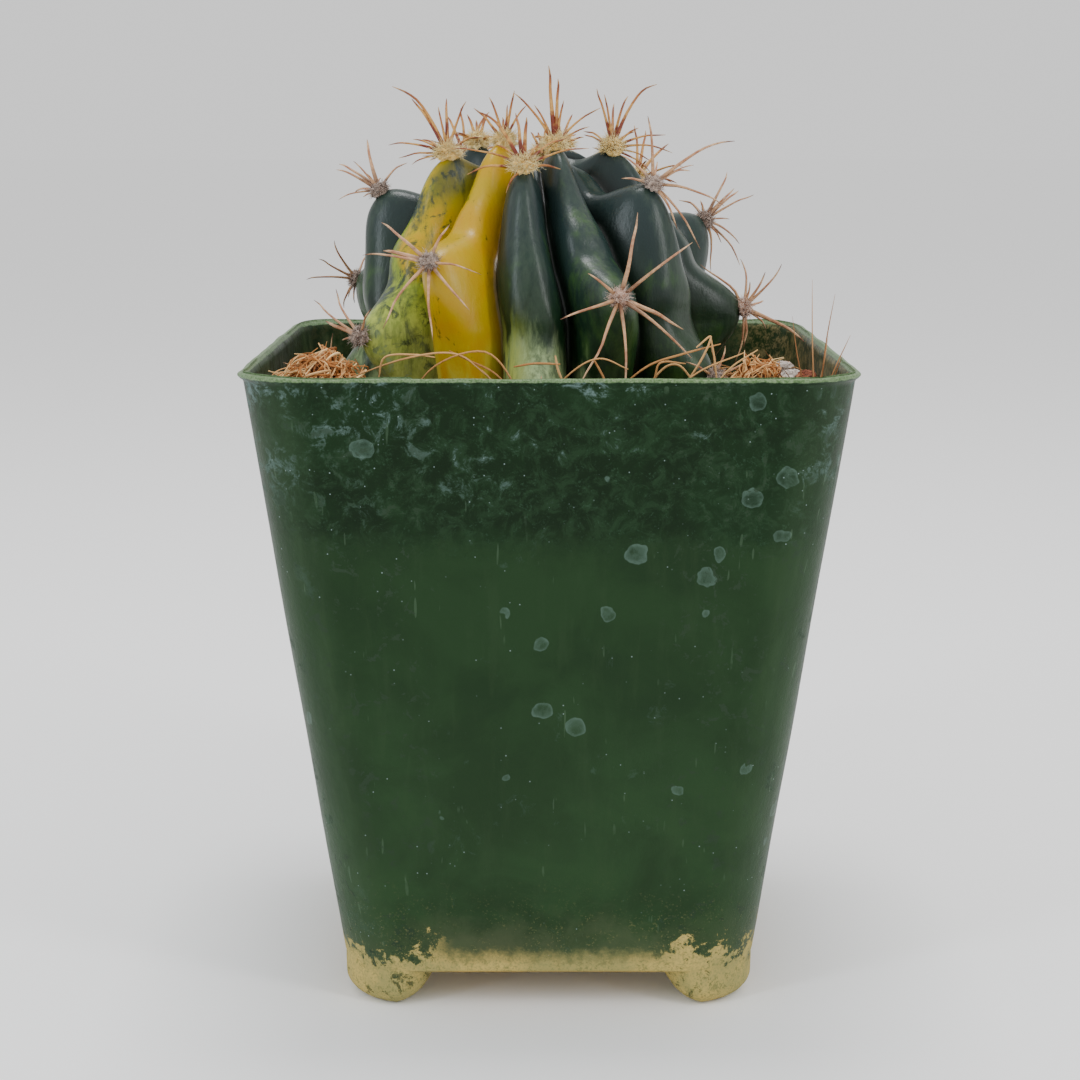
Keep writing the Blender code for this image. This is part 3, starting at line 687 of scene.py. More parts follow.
# %% The spines that show best
PLACED_SPINES = {
    0: [(-2.2, 7, 0.34), (1.6, 8, 0.36), (3.4, 5.8, 0.3), (-4.6, 5.4, 0.34), (0.6, 6, 0.3)],
    3: [(-1, 12, 0.5), (0.5, 10.3, 0.46), (1.3, 7, 0.34), (6.8, 5.9, 0.28), (-6.1, 8.1, 0.32),
        (-3.2, 6.4, 0.3), (5.2, 3.1, 0.26)],
    5: [(-6.8, 11.1, 0.42, -0.5), (-5.4, 8.6, 0.4), (-1.4, 7.5, 0.3), (0.2, 5.5, 0.26),
        (2.9, 8.2, 0.34), (-8.9, 1.8, 0.3), (-5.2, 2.6, 0.28), (-7.4, -0.3, 0.26), (-5.5, -1.2, 0.24)],
    6: [(5.6, 10.8, 0.4, 0.5), (-2.5, 9.4, 0.34), (-1.2, 8.6, 0.32), (-4.5, 2.5, 0.28),
        (4, 3.5, 0.3), (8.2, 2.4, 0.3), (9.3, -0.2, 0.28), (6.1, -1.6, 0.24), (6.1, -3.3, 0.24)],
    8: [(0.5, 7.5, 0.52), (-5.8, 8.8, 0.4, -0.4), (2.4, 3.7, 0.36), (-8.3, -0.7, 0.34),
        (-11, 2.8, 0.24), (9.8, 3, 0.26), (5.5, 0, 0.32), (-0.1, -4.2, 0.34), (-3.4, 5.6, 0.32)],
    10: [(-6.8, 3.6, 0.34), (-4.1, 4.9, 0.26), (-2.7, -0.6, 0.26), (-6.6, -1, 0.22), (-2, 3, 0.24)],
    11: [(-0.9, 10.5, 0.36), (11.4, 7, 0.38, 0.25), (-4.7, 1.2, 0.32), (10.9, -2.9, 0.32),
         (7.4, -9.3, 0.3), (1.8, -7, 0.34), (6.2, 3.2, 0.22)],
    13: [(2.8, 5.7, 0.38), (-7.5, 5.8, 0.38), (-7.1, 1.7, 0.56), (-10, 1.2, 0.3),
         (-6.5, -8.7, 0.34), (0.7, -10.2, 0.34), (5.7, -6.1, 0.36), (5.9, -0.4, 0.28, 1.0)],
    14: [(-0.5, 3.4, 0.34), (3.7, 4.2, 0.28), (8.1, 4.2, 0.28), (4.2, 0.4, 0.24),
         (6.1, -6.9, 0.28), (1.3, -8, 0.3), (3, -3.4, 0.26)],
    15: [(-8, 0.6, 0.26), (-5.9, 3.8, 0.28), (-3.4, 6.7, 0.3), (-1.9, -2.9, 0.26), (-1, -4, 0.26)],
    16: [(2.8, 12.2, 0.44), (10.7, 8, 0.36), (-4.5, 3.9, 0.36), (-8.4, -2.3, 0.38),
         (-5.7, -11.6, 0.36), (0.6, -12.8, 0.36), (10.4, -8, 0.38), (8.3, -3.6, 0.56, 0.5)],
    18: [(-4.4, 6.7, 0.32), (-7.8, 5, 0.3), (-6, 2, 0.5), (1.6, 4.4, 0.28), (-3.4, -0.8, 0.28)],
    19: [(1.3, 4.2, 0.3), (3.7, 5.7, 0.34), (6.2, 6.9, 0.3), (-8.4, 4.9, 0.32),
         (10, -5.2, 0.46), (0.5, -6, 0.36), (-1, -8.8, 0.3)],
    21: [(-3, 3.4, 0.3), (3.4, 3, 0.3), (0.4, 4.4, 0.32), (-5, 0.8, 0.26)],
    24: [(-0.3, 4.8, 0.34), (2.2, 4.6, 0.3), (5.4, 1.8, 0.3), (-4.2, 2.8, 0.3)],
}


def spine_tip(place, axis, right, up):
    """Where a placed spine ends: it spreads over the areole's own plane, and stands off it a little."""
    length = math.hypot(right, up)
    forward = 0.0
    if abs(axis[1]) > 0.4:
        forward = (0.28 * length - right * axis[0] - up * axis[2]) / axis[1]
    forward = max(-0.75 * length, min(0.75 * length, forward))
    return place + np.array([right, forward, up]) * MM


def habit_tips(number, place, axis, draw):
    """Tips for an areole that is seen less: radials all round, and a few centrals."""
    axis = Vector(axis)
    flat = axis.orthogonal().normalized()
    tips = []
    radials = 8
    for i in range(radials + 3):
        around = math.tau * (i + draw.uniform(-0.25, 0.25)) / radials
        lift = math.radians(draw.uniform(10, 26) if i < radials else draw.uniform(50, 75))
        direction = Quaternion(axis, around) @ flat * math.cos(lift) + axis * math.sin(lift)
        length = draw.uniform(6.5, 9.5) if i < radials else draw.uniform(8, 11)
        length *= 0.55 if number < 5 else 1.0
        thick = draw.uniform(0.26, 0.36) if i < radials else draw.uniform(0.36, 0.46)
        tips.append((place + np.array(direction) * length * MM, thick, 0.0))
    return tips


# %% [markdown]
# A spine or a fibre must not run through the skin, the mix or the wall. A tree of the stem's faces
# answers how far a point is from the skin, and the wall follows from the pot's own sizes, so a point
# that comes too near is moved out by the same rule wherever it is.

# %% Keep a spine off the skin and inside the pot
stem_faces = [tuple(face.vertices) for face in stem.data.polygons]
skin_tree = BVHTree.FromPolygons([Vector(point) for point in points_of(stem)], stem_faces)
WALL = 0.9 * MM
BASE_HALF = 31.8 * MM
FLOOR_LEVEL = 5.8 * MM
LIP = 0.6 * MM               # how far the lip stands out


def wall_half(height):
    """Half the pot's outer width at a height."""
    share = (height - FLOOR_LEVEL) / (pot_high[2] - FLOOR_LEVEL)
    return BASE_HALF + (pot_high[0] - LIP - BASE_HALF) * share


def held_off(point, room):
    """Moves a point out of the stem, the mix and the pot's wall."""
    point = Vector(point)
    near, normal, _, gap = skin_tree.find_nearest(point)
    if (point - near).dot(normal) < 0 or gap < room:
        point = near + normal * room
    reach = pot_high[0] - room
    if point.z < pot_high[2] + room:
        reach = wall_half(point.z) - WALL - room
    point.x = max(-reach, min(reach, point.x))
    point.y = max(-reach, min(reach, point.y))
    point.z = max(mix_high[2] + room, point.z)
    return np.array(point)


def spine_route(place, axis, tip, hook, draw):
    """A nearly straight route that bows away from the stem, with its last part hooked if asked."""
    reach = tip - place
    length = np.linalg.norm(reach)
    route = [place + axis * 0.3 * MM]
    for share in (0.3, 0.6, 0.82, 1.0):
        bow = axis * length * 0.1 * math.sin(share * math.pi)
        sway = np.array([draw.uniform(-1, 1) for _ in range(3)]) * length * 0.012
        point = place + reach * share + bow + sway
        over = max(0.0, share - 0.6) / 0.4
        point[0] += hook * 0.22 * length * over ** 2
        point[2] -= abs(hook) * 0.12 * length * over ** 2
        route.append(held_off(point, 0.45 * MM))
    return route


def spine_taper(share):
    return 0.8 * (1.0 - 0.92 * share ** 1.9) * (0.88 + 0.12 * math.cos(share * 7.0)) + 0.03


# %% Grow the spines
def spines_of(number):
    place, axis = PLACES[number]
    draw = random.Random(100 + number)
    tips = []
    for right, up, thick, *hook in PLACED_SPINES.get(number, []):
        tips.append((spine_tip(place, axis, right, up), thick, hook[0] if hook else 0.0))
    if not tips:
        tips = habit_tips(number, place, axis, draw)
    elif abs(axis[1]) < 0.5:
        for behind in habit_tips(number, place, axis, draw):
            if behind[0][1] > place[1] + 3 * MM:
                tips.append(behind)
    bundle = Bundle()
    for tip, thick, hook in tips:
        start = place + axis * 0.2 * MM + (tip - place) / np.linalg.norm(tip - place) * 0.5 * MM
        route = spine_route(start, axis, tip, hook, draw)
        points, faces, along = bent(SPINE_STRAND, route, thick * MM, spine_taper)
        bundle.add(points, faces, along, draw.random())
    return bundle.piece(f"areole_{number:02d}_spines", 50)


# %% [markdown]
# Horn has growth bands. On young spines they run from dark red at the base through tan and brown to
# a tan tip. Old ones have bleached to a pale pinkish tan with brown bands and flecks.

# %% The spines' materials
def spine_finish(name, young):
    horn = Finish(name, 0.5)
    along, tone = horn.attribute("along"), horn.attribute("tone")
    bands = horn.noise(1.1 * MM, 2.0, 0.5)
    grain = horn.noise(0.25 * MM, 3.0, 0.6)
    place = (along + (bands - 0.5) * 0.5 + (tone - 0.5) * 0.3).clamped()
    if young:
        stops = [(0.0, shade(92, 22, 6)), (0.22, shade(118, 44, 14)), (0.38, shade(196, 148, 76)),
                 (0.6, shade(160, 96, 44)), (0.82, shade(112, 54, 24)), (1.0, shade(176, 132, 76))]
    else:
        stops = [(0.0, shade(112, 76, 50)), (0.25, shade(190, 148, 108)), (0.5, shade(160, 104, 72)),
                 (0.75, shade(206, 168, 128)), (1.0, shade(104, 62, 38))]
    colour = horn.ramp(place, stops)
    colour = horn.blend(grain.between(0.5, 0.7) * 0.3, colour, shade(96, 62, 44))
    normal = horn.bump(grain, 0.05 * MM)
    return horn.wear(Base_Color=colour, Roughness=0.45 + grain * 0.2, Normal=normal)


young_horn = spine_finish("young_horn", True)
old_horn = spine_finish("old_horn", False)
LAST_YOUNG = 9               # the areoles up to this one still have their colour
for number in range(AREOLES):
    finish = young_horn if number <= LAST_YOUNG else old_horn
    dress(spines_of(number), finish, "spines", f"areole_{number:02d}")


# %% [markdown]
# The wool is a soft dome of matted felt with hairs standing out of it in all directions. The dome
# alone looks like putty and the hairs alone look like a brush, so each pad has both.

# %% Felt the pads
HAIR_RADIUS = 0.055 * MM


def wool_of(number):
    place, axis = PLACES[number]
    draw = random.Random(300 + number)
    young = number <= LAST_YOUNG
    radius = (1.85 if young else 1.6) * MM
    seat = place + axis * 0.4 * MM
    select_nothing()
    bpy.ops.mesh.primitive_ico_sphere_add(subdivisions=4, radius=1.0)
    dome = name_piece("dome")
    turn = Vector(axis).to_track_quat("Z", "Y").to_matrix()
    bundle = Bundle()
    ball = points_of(dome)
    lumpy = []
    for x, y, z in ball:
        rough = 0.8 + 0.35 * noise.noise(Vector((x, y, z)) * 2.2 + Vector((number, 0, 0)))
        rough += 0.12 * noise.noise(Vector((x, y, z)) * 7.0)
        local = Vector((x, y, z * 0.95)) * radius * rough
        lumpy.append(np.array(turn @ local) + seat)
    faces = [tuple(face.vertices) for face in dome.data.polygons]
    bundle.add(np.array(lumpy), faces, 0.0, draw.random())
    bpy.data.objects.remove(dome)
    hairs = 620 if young else 300
    for _ in range(hairs):
        around = draw.uniform(0, math.tau)
        lean = math.acos(draw.uniform(-0.25, 1.0))
        flat = math.sin(lean)
        local = Vector((flat * math.cos(around), flat * math.sin(around), 0.9 * math.cos(lean)))
        out = np.array(turn @ local)
        root = seat + out * radius * 0.76
        length = draw.uniform(0.5, 1.0) * (1.5 if young else 0.95) * MM
        curl = np.array([draw.uniform(-1, 1) for _ in range(3)])
        middle = root + out * length * 0.5 + curl * length * 0.22
        end = root + out * length * 0.8 + curl * length * 0.75
        points, strand_faces, along = bent(HAIR_STRAND, [root, middle, end], HAIR_RADIUS, lambda t: 1.1 - t)
        bundle.add(points, strand_faces, along, draw.random())
    return bundle.piece(f"areole_{number:02d}_wool", 180)


def wool_finish(name, deep, light):
    wool = Finish(name, 0.9, Sheen_Weight=0.35, Sheen_Roughness=0.5)
    tone, along = wool.attribute("tone"), wool.attribute("along")
    matting = wool.noise(0.5 * MM, 5.0, 0.65)
    patches = wool.noise(1.6 * MM, 3.0, 0.5)
    colour = wool.blend((matting * 0.9 + tone * 0.3 + along * 0.2 - 0.2).between(0.2, 0.75), deep, light)
    colour = wool.blend(patches.between(0.56, 0.7) * 0.5, colour, deep)
    return wool.wear(Base_Color=colour, Normal=wool.bump(matting, 0.35 * MM))


cream_wool = wool_finish("cream_wool", shade(232, 190, 100), shade(255, 238, 172))
grey_wool = wool_finish("grey_wool", shade(104, 80, 66), shade(206, 184, 168))
pink_wool = wool_finish("pink_wool", shade(170, 130, 108), shade(240, 214, 196))
WOOL_OF = {16: pink_wool, 19: pink_wool}
for number in range(AREOLES):
    finish = cream_wool if number <= LAST_YOUNG else WOOL_OF.get(number, grey_wool)
    dress(wool_of(number), finish, "spines")

# %% [markdown]
# ## The pot
#
# A nursery pot is drawn from one thin sheet of plastic: four walls that lean out and bow a little,
# round corners, a rolled lip, and four feet that carry the corners down to the bench. We start
# with a cube, round its standing edges, cut it into a fine grid and then move the grid's points to
# the leaning, bowed shape. Solidify gives the sheet its thickness.

# %% The wall as a rule
BASE_CORNER = 11.0 * MM
RIM_CORNER = 10.0 * MM
BULGE = 0.75 * MM            # how far the middle of a wall bows out
LIP_HEIGHT = 1.1 * MM
FLOOR_EDGE = 0.5 * MM        # how much the edge round the floor is tucked in
RIM_HALF = pot_high[0]
POT_TOP = pot_high[2]


def cut_grid(piece, axis, levels):
    """Cuts an open piece, in edit mode, by a plane across one axis at each level."""
    for level in levels:
        bpy.ops.mesh.select_all(action="SELECT")
        place = [0.0, 0.0, 0.0]
        normal = [0.0, 0.0, 0.0]
        place[axis] = level
        normal[axis] = 1.0
        bpy.ops.mesh.bisect(plane_co=place, plane_no=normal)


def square_block(name, half, corner, low, high):
    """A standing block with round corners, left in edit mode."""
    select_nothing()
    size = (2 * half, 2 * half, high - low)
    bpy.ops.mesh.primitive_cube_add(size=1.0, scale=size, location=(0, 0, (low + high) / 2))
    block = name_piece(name)
    settle(block)
    edit_only(block)
    pick(block, "edges", lambda at, edge: abs(at.x) > 0.9 * half and abs(at.y) > 0.9 * half)
    bpy.ops.mesh.bevel(offset=corner, segments=10, affect="EDGES")
    return block


def to_wall(points, half, corner, inset=0.0):
    """Moves a round-cornered block of the base's size to the leaning, bowed wall."""
    low = half - corner
    share = np.clip((points[:, 2] - FLOOR_LEVEL) / (POT_TOP - FLOOR_LEVEL), 0, 1)
    wall = BASE_HALF + (RIM_HALF - LIP - BASE_HALF) * share - inset
    new_corner = BASE_CORNER + (RIM_CORNER - BASE_CORNER) * share - inset
    straight = wall - new_corner
    bow = BULGE * 4 * share * (1 - share)
    moved = points.copy()
    for axis in (0, 1):
        value = np.abs(points[:, axis])
        outward = np.clip((value - low) / corner, 0, 1)
        place = np.where(value < low, value / low * straight, straight + outward * new_corner)
        across = np.clip(np.abs(points[:, 1 - axis]) / low, 0, 1)
        place = place + bow * (1 - across ** 2) * outward
        moved[:, axis] = np.sign(points[:, axis]) * place
    return moved


# %% The pot's sheet
shell = square_block("green_pot", BASE_HALF, BASE_CORNER, FLOOR_LEVEL, POT_TOP)
bpy.ops.mesh.select_all(action="DESELECT")
pick(shell, "faces", lambda at, face: face.normal.z > 0.9 and at.z > POT_TOP - 1 * MM)
bpy.ops.mesh.delete(type="FACE")
straight_half = BASE_HALF - BASE_CORNER
for axis in (0, 1):
    cut_grid(shell, axis, np.linspace(-straight_half, straight_half, 41))
levels = np.append(np.linspace(FLOOR_LEVEL + 0.4 * MM, FLOOR_LEVEL + 1.6 * MM, 4),
                   np.linspace(10 * MM, POT_TOP - 1.6 * MM, 36))
cut_grid(shell, 2, np.append(levels, POT_TOP - np.array([1.3, 1.0, 0.7, 0.4]) * MM))
settle(shell)
sheet = to_wall(points_of(shell), BASE_HALF, BASE_CORNER)
rolled = np.clip((sheet[:, 2] - (POT_TOP - LIP_HEIGHT)) / (0.6 * MM), 0, 1)
tucked = np.clip(1 - (sheet[:, 2] - FLOOR_LEVEL) / FLOOR_EDGE, 0, 1) ** 2
reach = np.maximum(np.abs(sheet[:, 0]), np.abs(sheet[:, 1]))
grow = 1 + (rolled * LIP - tucked * FLOOR_EDGE) / np.maximum(reach, 10 * MM)
sheet[:, :2] *= grow[:, None]
put_points(shell, sheet)
apply_modifier(shell, "SOLIDIFY", thickness=WALL, offset=-1.0, use_even_offset=True)
edit_only(shell)
pick(shell, "edges", lambda at, edge: at.z > POT_TOP - 0.05 * MM
     and all(v.co.z > POT_TOP - 0.05 * MM for v in edge.verts)
     and sum(len(v.link_edges) for v in edge.verts) == 8
     and any(face.normal.z < 0.5 for face in edge.link_faces))
bpy.ops.mesh.bevel(offset=0.28 * MM, segments=3, affect="EDGES")
settle(shell)
print("the pot's sheet has", len(shell.data.polygons), "faces")


# %% [markdown]
# A foot carries on the corner of the wall, so its outer faces take their place from the wall's rule.
# Its sole is rounded in from them, and its inner faces slope. The real feet are hollow, and the
# frame's are too, but nothing of that can be seen, so here each foot is a solid block joined to the
# sheet. The drain holes are then cut out of the floor.

# %% Feet and drain holes
FOOT_WIDTH = 13.5 * MM
FOOT_TOP = FLOOR_LEVEL + 0.7 * MM
FOOT_REACH = 2.0 * MM             # how far the top of a foot reaches in past its width
FOOT_SLOPE = 0.65                 # mm in for each mm down, on the inner faces
SOLE_ROUND = 2.9 * MM             # height of the rounding under a foot
SOLE_INSET = 2.9 * MM             # how far the sole stands in from the wall
FOOT_CLEAR = 0.04 * MM            # keeps a foot's face from lying in the wall's own face
DRAIN_SPREAD = 10.5 * MM
DRAIN_RADIUS = 3.0 * MM


def join_by(first, second, operation):
    apply_modifier(first, "BOOLEAN", object=second, operation=operation, solver="EXACT")
    bpy.data.objects.remove(second)


def foot(side_x, side_y):
    """One foot, flush with the pot's corner outside and sloping up to the floor inside."""
    half = FOOT_WIDTH / 2
    block = square_block("foot", half, 0.8 * half, 0.0, FOOT_TOP)
    cut_grid(block, 2, FOOT_TOP * (1 - np.cos(np.linspace(0.12, math.pi / 2, 18))))
    settle(block)
    points = points_of(block)
    height = points[:, 2]
    below = (1 - height / SOLE_ROUND).clip(0, 1)
    round_off = SOLE_INSET * (1 - np.sqrt(np.clip(1 - below ** 2, 0, 1)))
    outer = np.array([wall_half(z) for z in np.maximum(height, FLOOR_LEVEL)]) - FOOT_CLEAR - round_off
    inner_edge = BASE_HALF - FOOT_WIDTH - FOOT_REACH + FOOT_SLOPE * (FOOT_TOP - height) + 0.8 * round_off
    corner = BASE_HALF - BASE_CORNER
    for axis in (0, 1):
        share = (points[:, axis] + half) / FOOT_WIDTH
        points[:, axis] = inner_edge + share * (outer - inner_edge)
    past = points[:, :2] - corner
    both = (past > 0).all(axis=1)
    length = np.hypot(past[:, 0], past[:, 1])
    limit = outer - corner
    pull = np.where(both & (length > limit), limit / np.maximum(length, 1e-6), 1.0)
    points[:, :2] = corner + past * pull[:, None]
    points[:, 0] *= side_x
    points[:, 1] *= side_y
    put_points(block, points)
    if side_x * side_y < 0:
        block.data.flip_normals()
    return block


for side_x in (-1, 1):
    for side_y in (-1, 1):
        join_by(shell, foot(side_x, side_y), "UNION")
either_side = (-DRAIN_SPREAD, DRAIN_SPREAD)
for x, y in [(0, 0)] + [(x, y) for x in either_side for y in either_side]:
    select_nothing()
    bpy.ops.mesh.primitive_cylinder_add(
        vertices=48, radius=DRAIN_RADIUS, depth=6 * MM, location=(x, y, FLOOR_LEVEL))
    join_by(shell, name_piece("drain"), "DIFFERENCE")
print("with feet and drains the pot has", len(shell.data.polygons), "faces")

# %% [markdown]
# A pot that has been handled for years isn't true any more. We let the walls wander by a tenth of a
# millimetre, make the lip wavy, and fray the lip at one place at the front right, where it has torn.

# %% Wear the pot's shape
TEAR_X = 37.5 * MM
sheet = points_of(shell)
worn = np.empty_like(sheet)
for i, (x, y, z) in enumerate(sheet):
    at = Vector((x, y, z))
    edge = min(1.0, max(0.0, (z - (POT_TOP - 5 * MM)) / (5 * MM)))
    slow = noise.noise_vector(at / (22 * MM)) * 0.12 * MM
    slow += noise.noise_vector(at / (6 * MM)) * 0.1 * MM * edge
    drop = noise.noise(Vector((x, y, 0)) / (9 * MM)) * 0.22 * MM * edge
    torn = math.exp(-(((x - TEAR_X) / (2.2 * MM)) ** 2)) * edge ** 6 * (y < -40 * MM)
    ragged = noise.noise(at / (1.1 * MM)) * 0.7 * MM * torn
    ahead = slow.y - 0.5 * MM * torn + ragged
    up = slow.z * 0.3 + drop - 0.5 * abs(ragged) * torn
    worn[i] = (x + slow.x, y + ahead, z + up)
worn[:, 2] = np.maximum(worn[:, 2], 0.0)
put_points(shell, worn)
smooth(shell, 38)


def depth_in_wall(points):
    """How far each point lies in from the wall's outer face, round the corners too."""
    share = np.clip((points[:, 2] - FLOOR_LEVEL) / (POT_TOP - FLOOR_LEVEL), 0, 1)
    wall = BASE_HALF + (RIM_HALF - LIP - BASE_HALF) * share
    corner = BASE_CORNER + (RIM_CORNER - BASE_CORNER) * share
    bow = BULGE * 4 * share * (1 - share)
    x, y = np.abs(points[:, 0]), np.abs(points[:, 1])
    straight = wall - corner
    past_x, past_y = np.maximum(x - straight, 0), np.maximum(y - straight, 0)
    flat = np.minimum(x, y) / straight
    return wall + bow * np.clip(1 - flat ** 2, 0, 1) - np.where(
        (past_x > 0) & (past_y > 0), straight + np.hypot(past_x, past_y), np.maximum(x, y))


inner = np.clip((depth_in_wall(sheet) - 0.3 * WALL) / (0.4 * WALL), 0, 1)
inner *= sheet[:, 2] > FLOOR_LEVEL + 0.5 * MM
paint(shell, "inner", inner)
print("points on the pot's inner face:", int((inner > 0.5).sum()))


# %% [markdown]
# The plastic is dark bottle green at the top and a paler, faded green lower down, with a painted
# highlight in upright streaks near the corners. Near the bench the green has flaked to a bleached tan.
# Hard water left pale specks, and droplets dried to small rings. Handling left thin upright scratches.

# %% The pot's material
def plastic_finish():
    skin = Finish("pot_plastic", 0.42, Specular_IOR_Level=0.14)
    height, side, depth = skin.axis("Z") / MM, skin.axis("X") / MM, skin.axis("Y") / MM
    upright = skin.stretched((1.0, 1.0, 0.12))
    clouds = skin.noise(16 * MM, 5.0, 0.6, 0.5)
    grain = skin.noise(1.3 * MM, 5.0, 0.65)
    dust = skin.noise(0.35 * MM, 3.0, 0.7)
    streaks = skin.noise(2.4 * MM, 5.0, 0.6, 0.2, upright)
    smears = skin.noise(2.8 * MM, 8.0, 0.75, 0.6)
    regions = skin.noise(9 * MM, 3.0, 0.6)

    # faded green, darker higher up and darkest in a band over the top of the wall
    low_green = skin.blend(clouds.between(0.35, 0.65), shade(26, 49, 24), shade(34, 60, 31))
    high_green = skin.blend(clouds.between(0.35, 0.65), shade(17, 42, 16), shade(24, 50, 22))
    faded = skin.blend(height.between(14.0, 62.0), low_green, high_green)
    faded = skin.blend(streaks.between(0.5, 0.72) * 0.16, faded, shade(46, 66, 40))
    band = (height + (clouds - 0.5) * 8.0 + (grain - 0.5) * 6.0).between(72.0, 77.0)
    dark = skin.blend(clouds.between(0.4, 0.6), shade(2, 26, 2), shade(8, 36, 9))
    dark = skin.blend(smears.between(0.44, 0.6) * 0.6, dark, shade(28, 54, 30))
    dark = skin.blend((grain * 0.5 + dust * 0.5).between(0.54, 0.66) * 0.35, dark, shade(50, 80, 58))
    colour = skin.blend(band, faded, dark)
    # painted highlight: a paler green in upright streaks near the corners, strongest low down
    out = side.math("ABSOLUTE").math("MINIMUM", depth.math("ABSOLUTE"))
    lean = out - (height - 5.8) * 0.12 + (clouds - 0.5) * 3.0
    corner_highlight = lean.between(22.0, 28.0)
    colour = skin.blend(corner_highlight * (streaks + 0.1) * 0.45, colour, shade(50, 72, 46))

    # hard water left smears, specks and dried drops
    high = height.between(74.0, 97.0)
    left = 1 - side.between(-40.0, 10.0)
    crust = (smears + high * 0.07 + regions * 0.55 + left * 0.05 + corner_highlight * 0.03 - 0.35).between(0.56, 0.7)
    crust = crust * (0.35 + dust * 0.9)
    colour = skin.blend(crust * (high * 0.75 + 0.12), colour, shade(104, 126, 124))
    specks = skin.cells(0.7 * MM)
    speck_kind = skin.add("ShaderNodeSeparateColor", None, {0: skin.cells(0.7 * MM, "Color")}).number()
    salted = (speck_kind + high * 0.09 + (regions - 0.5) * 0.5).between(0.95, 1.0)
    salt = (1 - specks.between(0.06, 0.2)) * salted
    colour = skin.blend(salt * 0.75, colour, shade(140, 160, 158))
    wander = skin.add("ShaderNodeTexNoise", None, {"Vector": skin.place, "Scale": 1 / (3 * MM)}).out("Color")
    wander = skin.add("ShaderNodeVectorMath", {"operation": "SCALE"}, {0: wander, "Scale": 2.2 * MM}).out()
    bent_place = skin.add("ShaderNodeVectorMath", {"operation": "ADD"}, {0: skin.place, 1: wander}).out()
    drops = skin.cells(5.0 * MM, where=bent_place)
    drop_kind = skin.cells(5.0 * MM, "Color", bent_place)
    drop_kind = skin.add("ShaderNodeSeparateColor", None, {0: drop_kind})
    splash = side.between(-2.0, 8.0) * height.between(55.0, 66.0) * (1 - height.between(84.0, 90.0))
    chosen = (drop_kind.number(0) + splash * 0.32).between(0.93, 0.95)
    size = 0.2 + drop_kind.number(1) * 0.16
    share = drops / size
    film = share.between(0.6, 0.95) * 0.5 + smears.between(0.4, 0.6) * 0.4 + 0.12
    dried = (1 - share.between(0.94, 1.0)) * film
    colour = skin.blend((dried * chosen).clamped() * 0.42, colour, shade(92, 116, 106))
    scratch_lines = skin.stretched((1.0, 1.0, 0.03))
    scratches = skin.noise(0.7 * MM, 1.0, 0.3, 0.0, scratch_lines).between(0.72, 0.74)
    scratches = scratches * regions.between(0.52, 0.62)
    slant = skin.stretched((1.0, 1.0, 0.05), (0.0, 0.7, 0.0))
    slants = skin.noise(0.9 * MM, 1.0, 0.3, 0.0, slant).between(0.74, 0.76) * clouds.between(0.5, 0.6)
    colour = skin.blend((scratches + slants) * 0.2, colour, shade(92, 116, 92))

    # near the bench the green has turned to dust, and on the feet it has flaked off
    corner = side.math("ABSOLUTE").math("MINIMUM", depth.math("ABSOLUTE")).between(14.0, 20.0)
    ragged = height + (smears - 0.5) * 9.0 + (regions - 0.5) * 12.0
    haze = (1 - ragged.between(8.0, 17.0)) * (1 - corner * 0.5)
    colour = skin.blend(haze * 0.5, colour, shade(82, 88, 62))
    bleached = skin.blend(dust.between(0.4, 0.65), shade(184, 162, 92), shade(152, 142, 84))
    bleached = skin.blend(regions.between(0.4, 0.62) * 0.6, bleached, shade(128, 128, 82))
    bleached = skin.blend((1 - height.between(5.6, 6.6)) * (1 - corner) * 0.5, bleached, shade(168, 120, 40))
    soft_edge = 1 - (height + (smears - 0.5) * 3.0 + (grain - 0.5) * 3.0).between(6.6, 10.5)
    flaking = height + (smears - 0.5) * 16.0 + (grain - 0.5) * 9.0 + (regions - 0.5) * 16.0
    hard_edge = 1 - flaking.between(8.6, 9.6)
    bare = soft_edge * (1 - corner) + hard_edge * corner
    colour = skin.blend(bare, colour, bleached)
    left_green = (smears + grain * 0.3).between(0.72, 0.76) * corner
    colour = skin.blend(left_green * 0.8, colour, shade(34, 52, 34))
    scuffs = bare * (grain * 0.6 + dust * 0.5).between(0.56, 0.66)
    colour = skin.blend(scuffs * 0.45, colour, shade(84, 92, 54))
    flakes = (1 - height.between(9.0, 24.0)) * dust.between(0.56, 0.66) * smears.between(0.45, 0.6)
    colour = skin.blend(flakes * 0.5, colour, shade(128, 124, 76))

    # the lip has lost its colour
    lip = (height + (grain - 0.5) * 0.6).between(97.5, 97.7)
    lip_colour = skin.blend(dust.between(0.35, 0.65), shade(84, 110, 68), shade(128, 150, 112))
    colour = skin.blend(lip * 0.8, colour, lip_colour)

    inside = skin.attribute("inner")
    grubby = skin.blend(clouds.between(0.35, 0.65), shade(12, 36, 12), shade(34, 56, 26))
    grubby = skin.blend(streaks.between(0.45, 0.7) * 0.35, grubby, shade(84, 104, 72))
    dusty = (grain * 0.5 + dust * 0.3 + smears * 0.4 - 0.1).between(0.44, 0.6)
    dusty = dusty * (side.between(32.0, 40.0) * 0.9 + 0.12)
    grubby = skin.blend(dusty, grubby, shade(126, 116, 78))
    colour = skin.blend(inside * (1 - lip), colour, grubby)

    normal = skin.bump(grain * 0.6 + dust * 0.3 + streaks * 0.4, 0.1 * MM)
    normal = skin.bump(scratches * -0.5 + salt * 0.6 + crust * 0.3, 0.05 * MM, normal)
    roughness = 0.36 + grain * 0.14 + crust * 0.25 + bare * 0.3
    return skin.wear(Base_Color=colour, Roughness=roughness, Normal=normal)


dress(shell, plastic_finish(), "pot_plastic", "pot")


# %% [markdown]
# ## The mix and what lies on it
#
# The mix is a block that fills the pot, with a coarse uneven top, and then thousands of grains,
# crumbs and bits of fibre lying on it. Each grain is one small angular stone, turned and squashed.

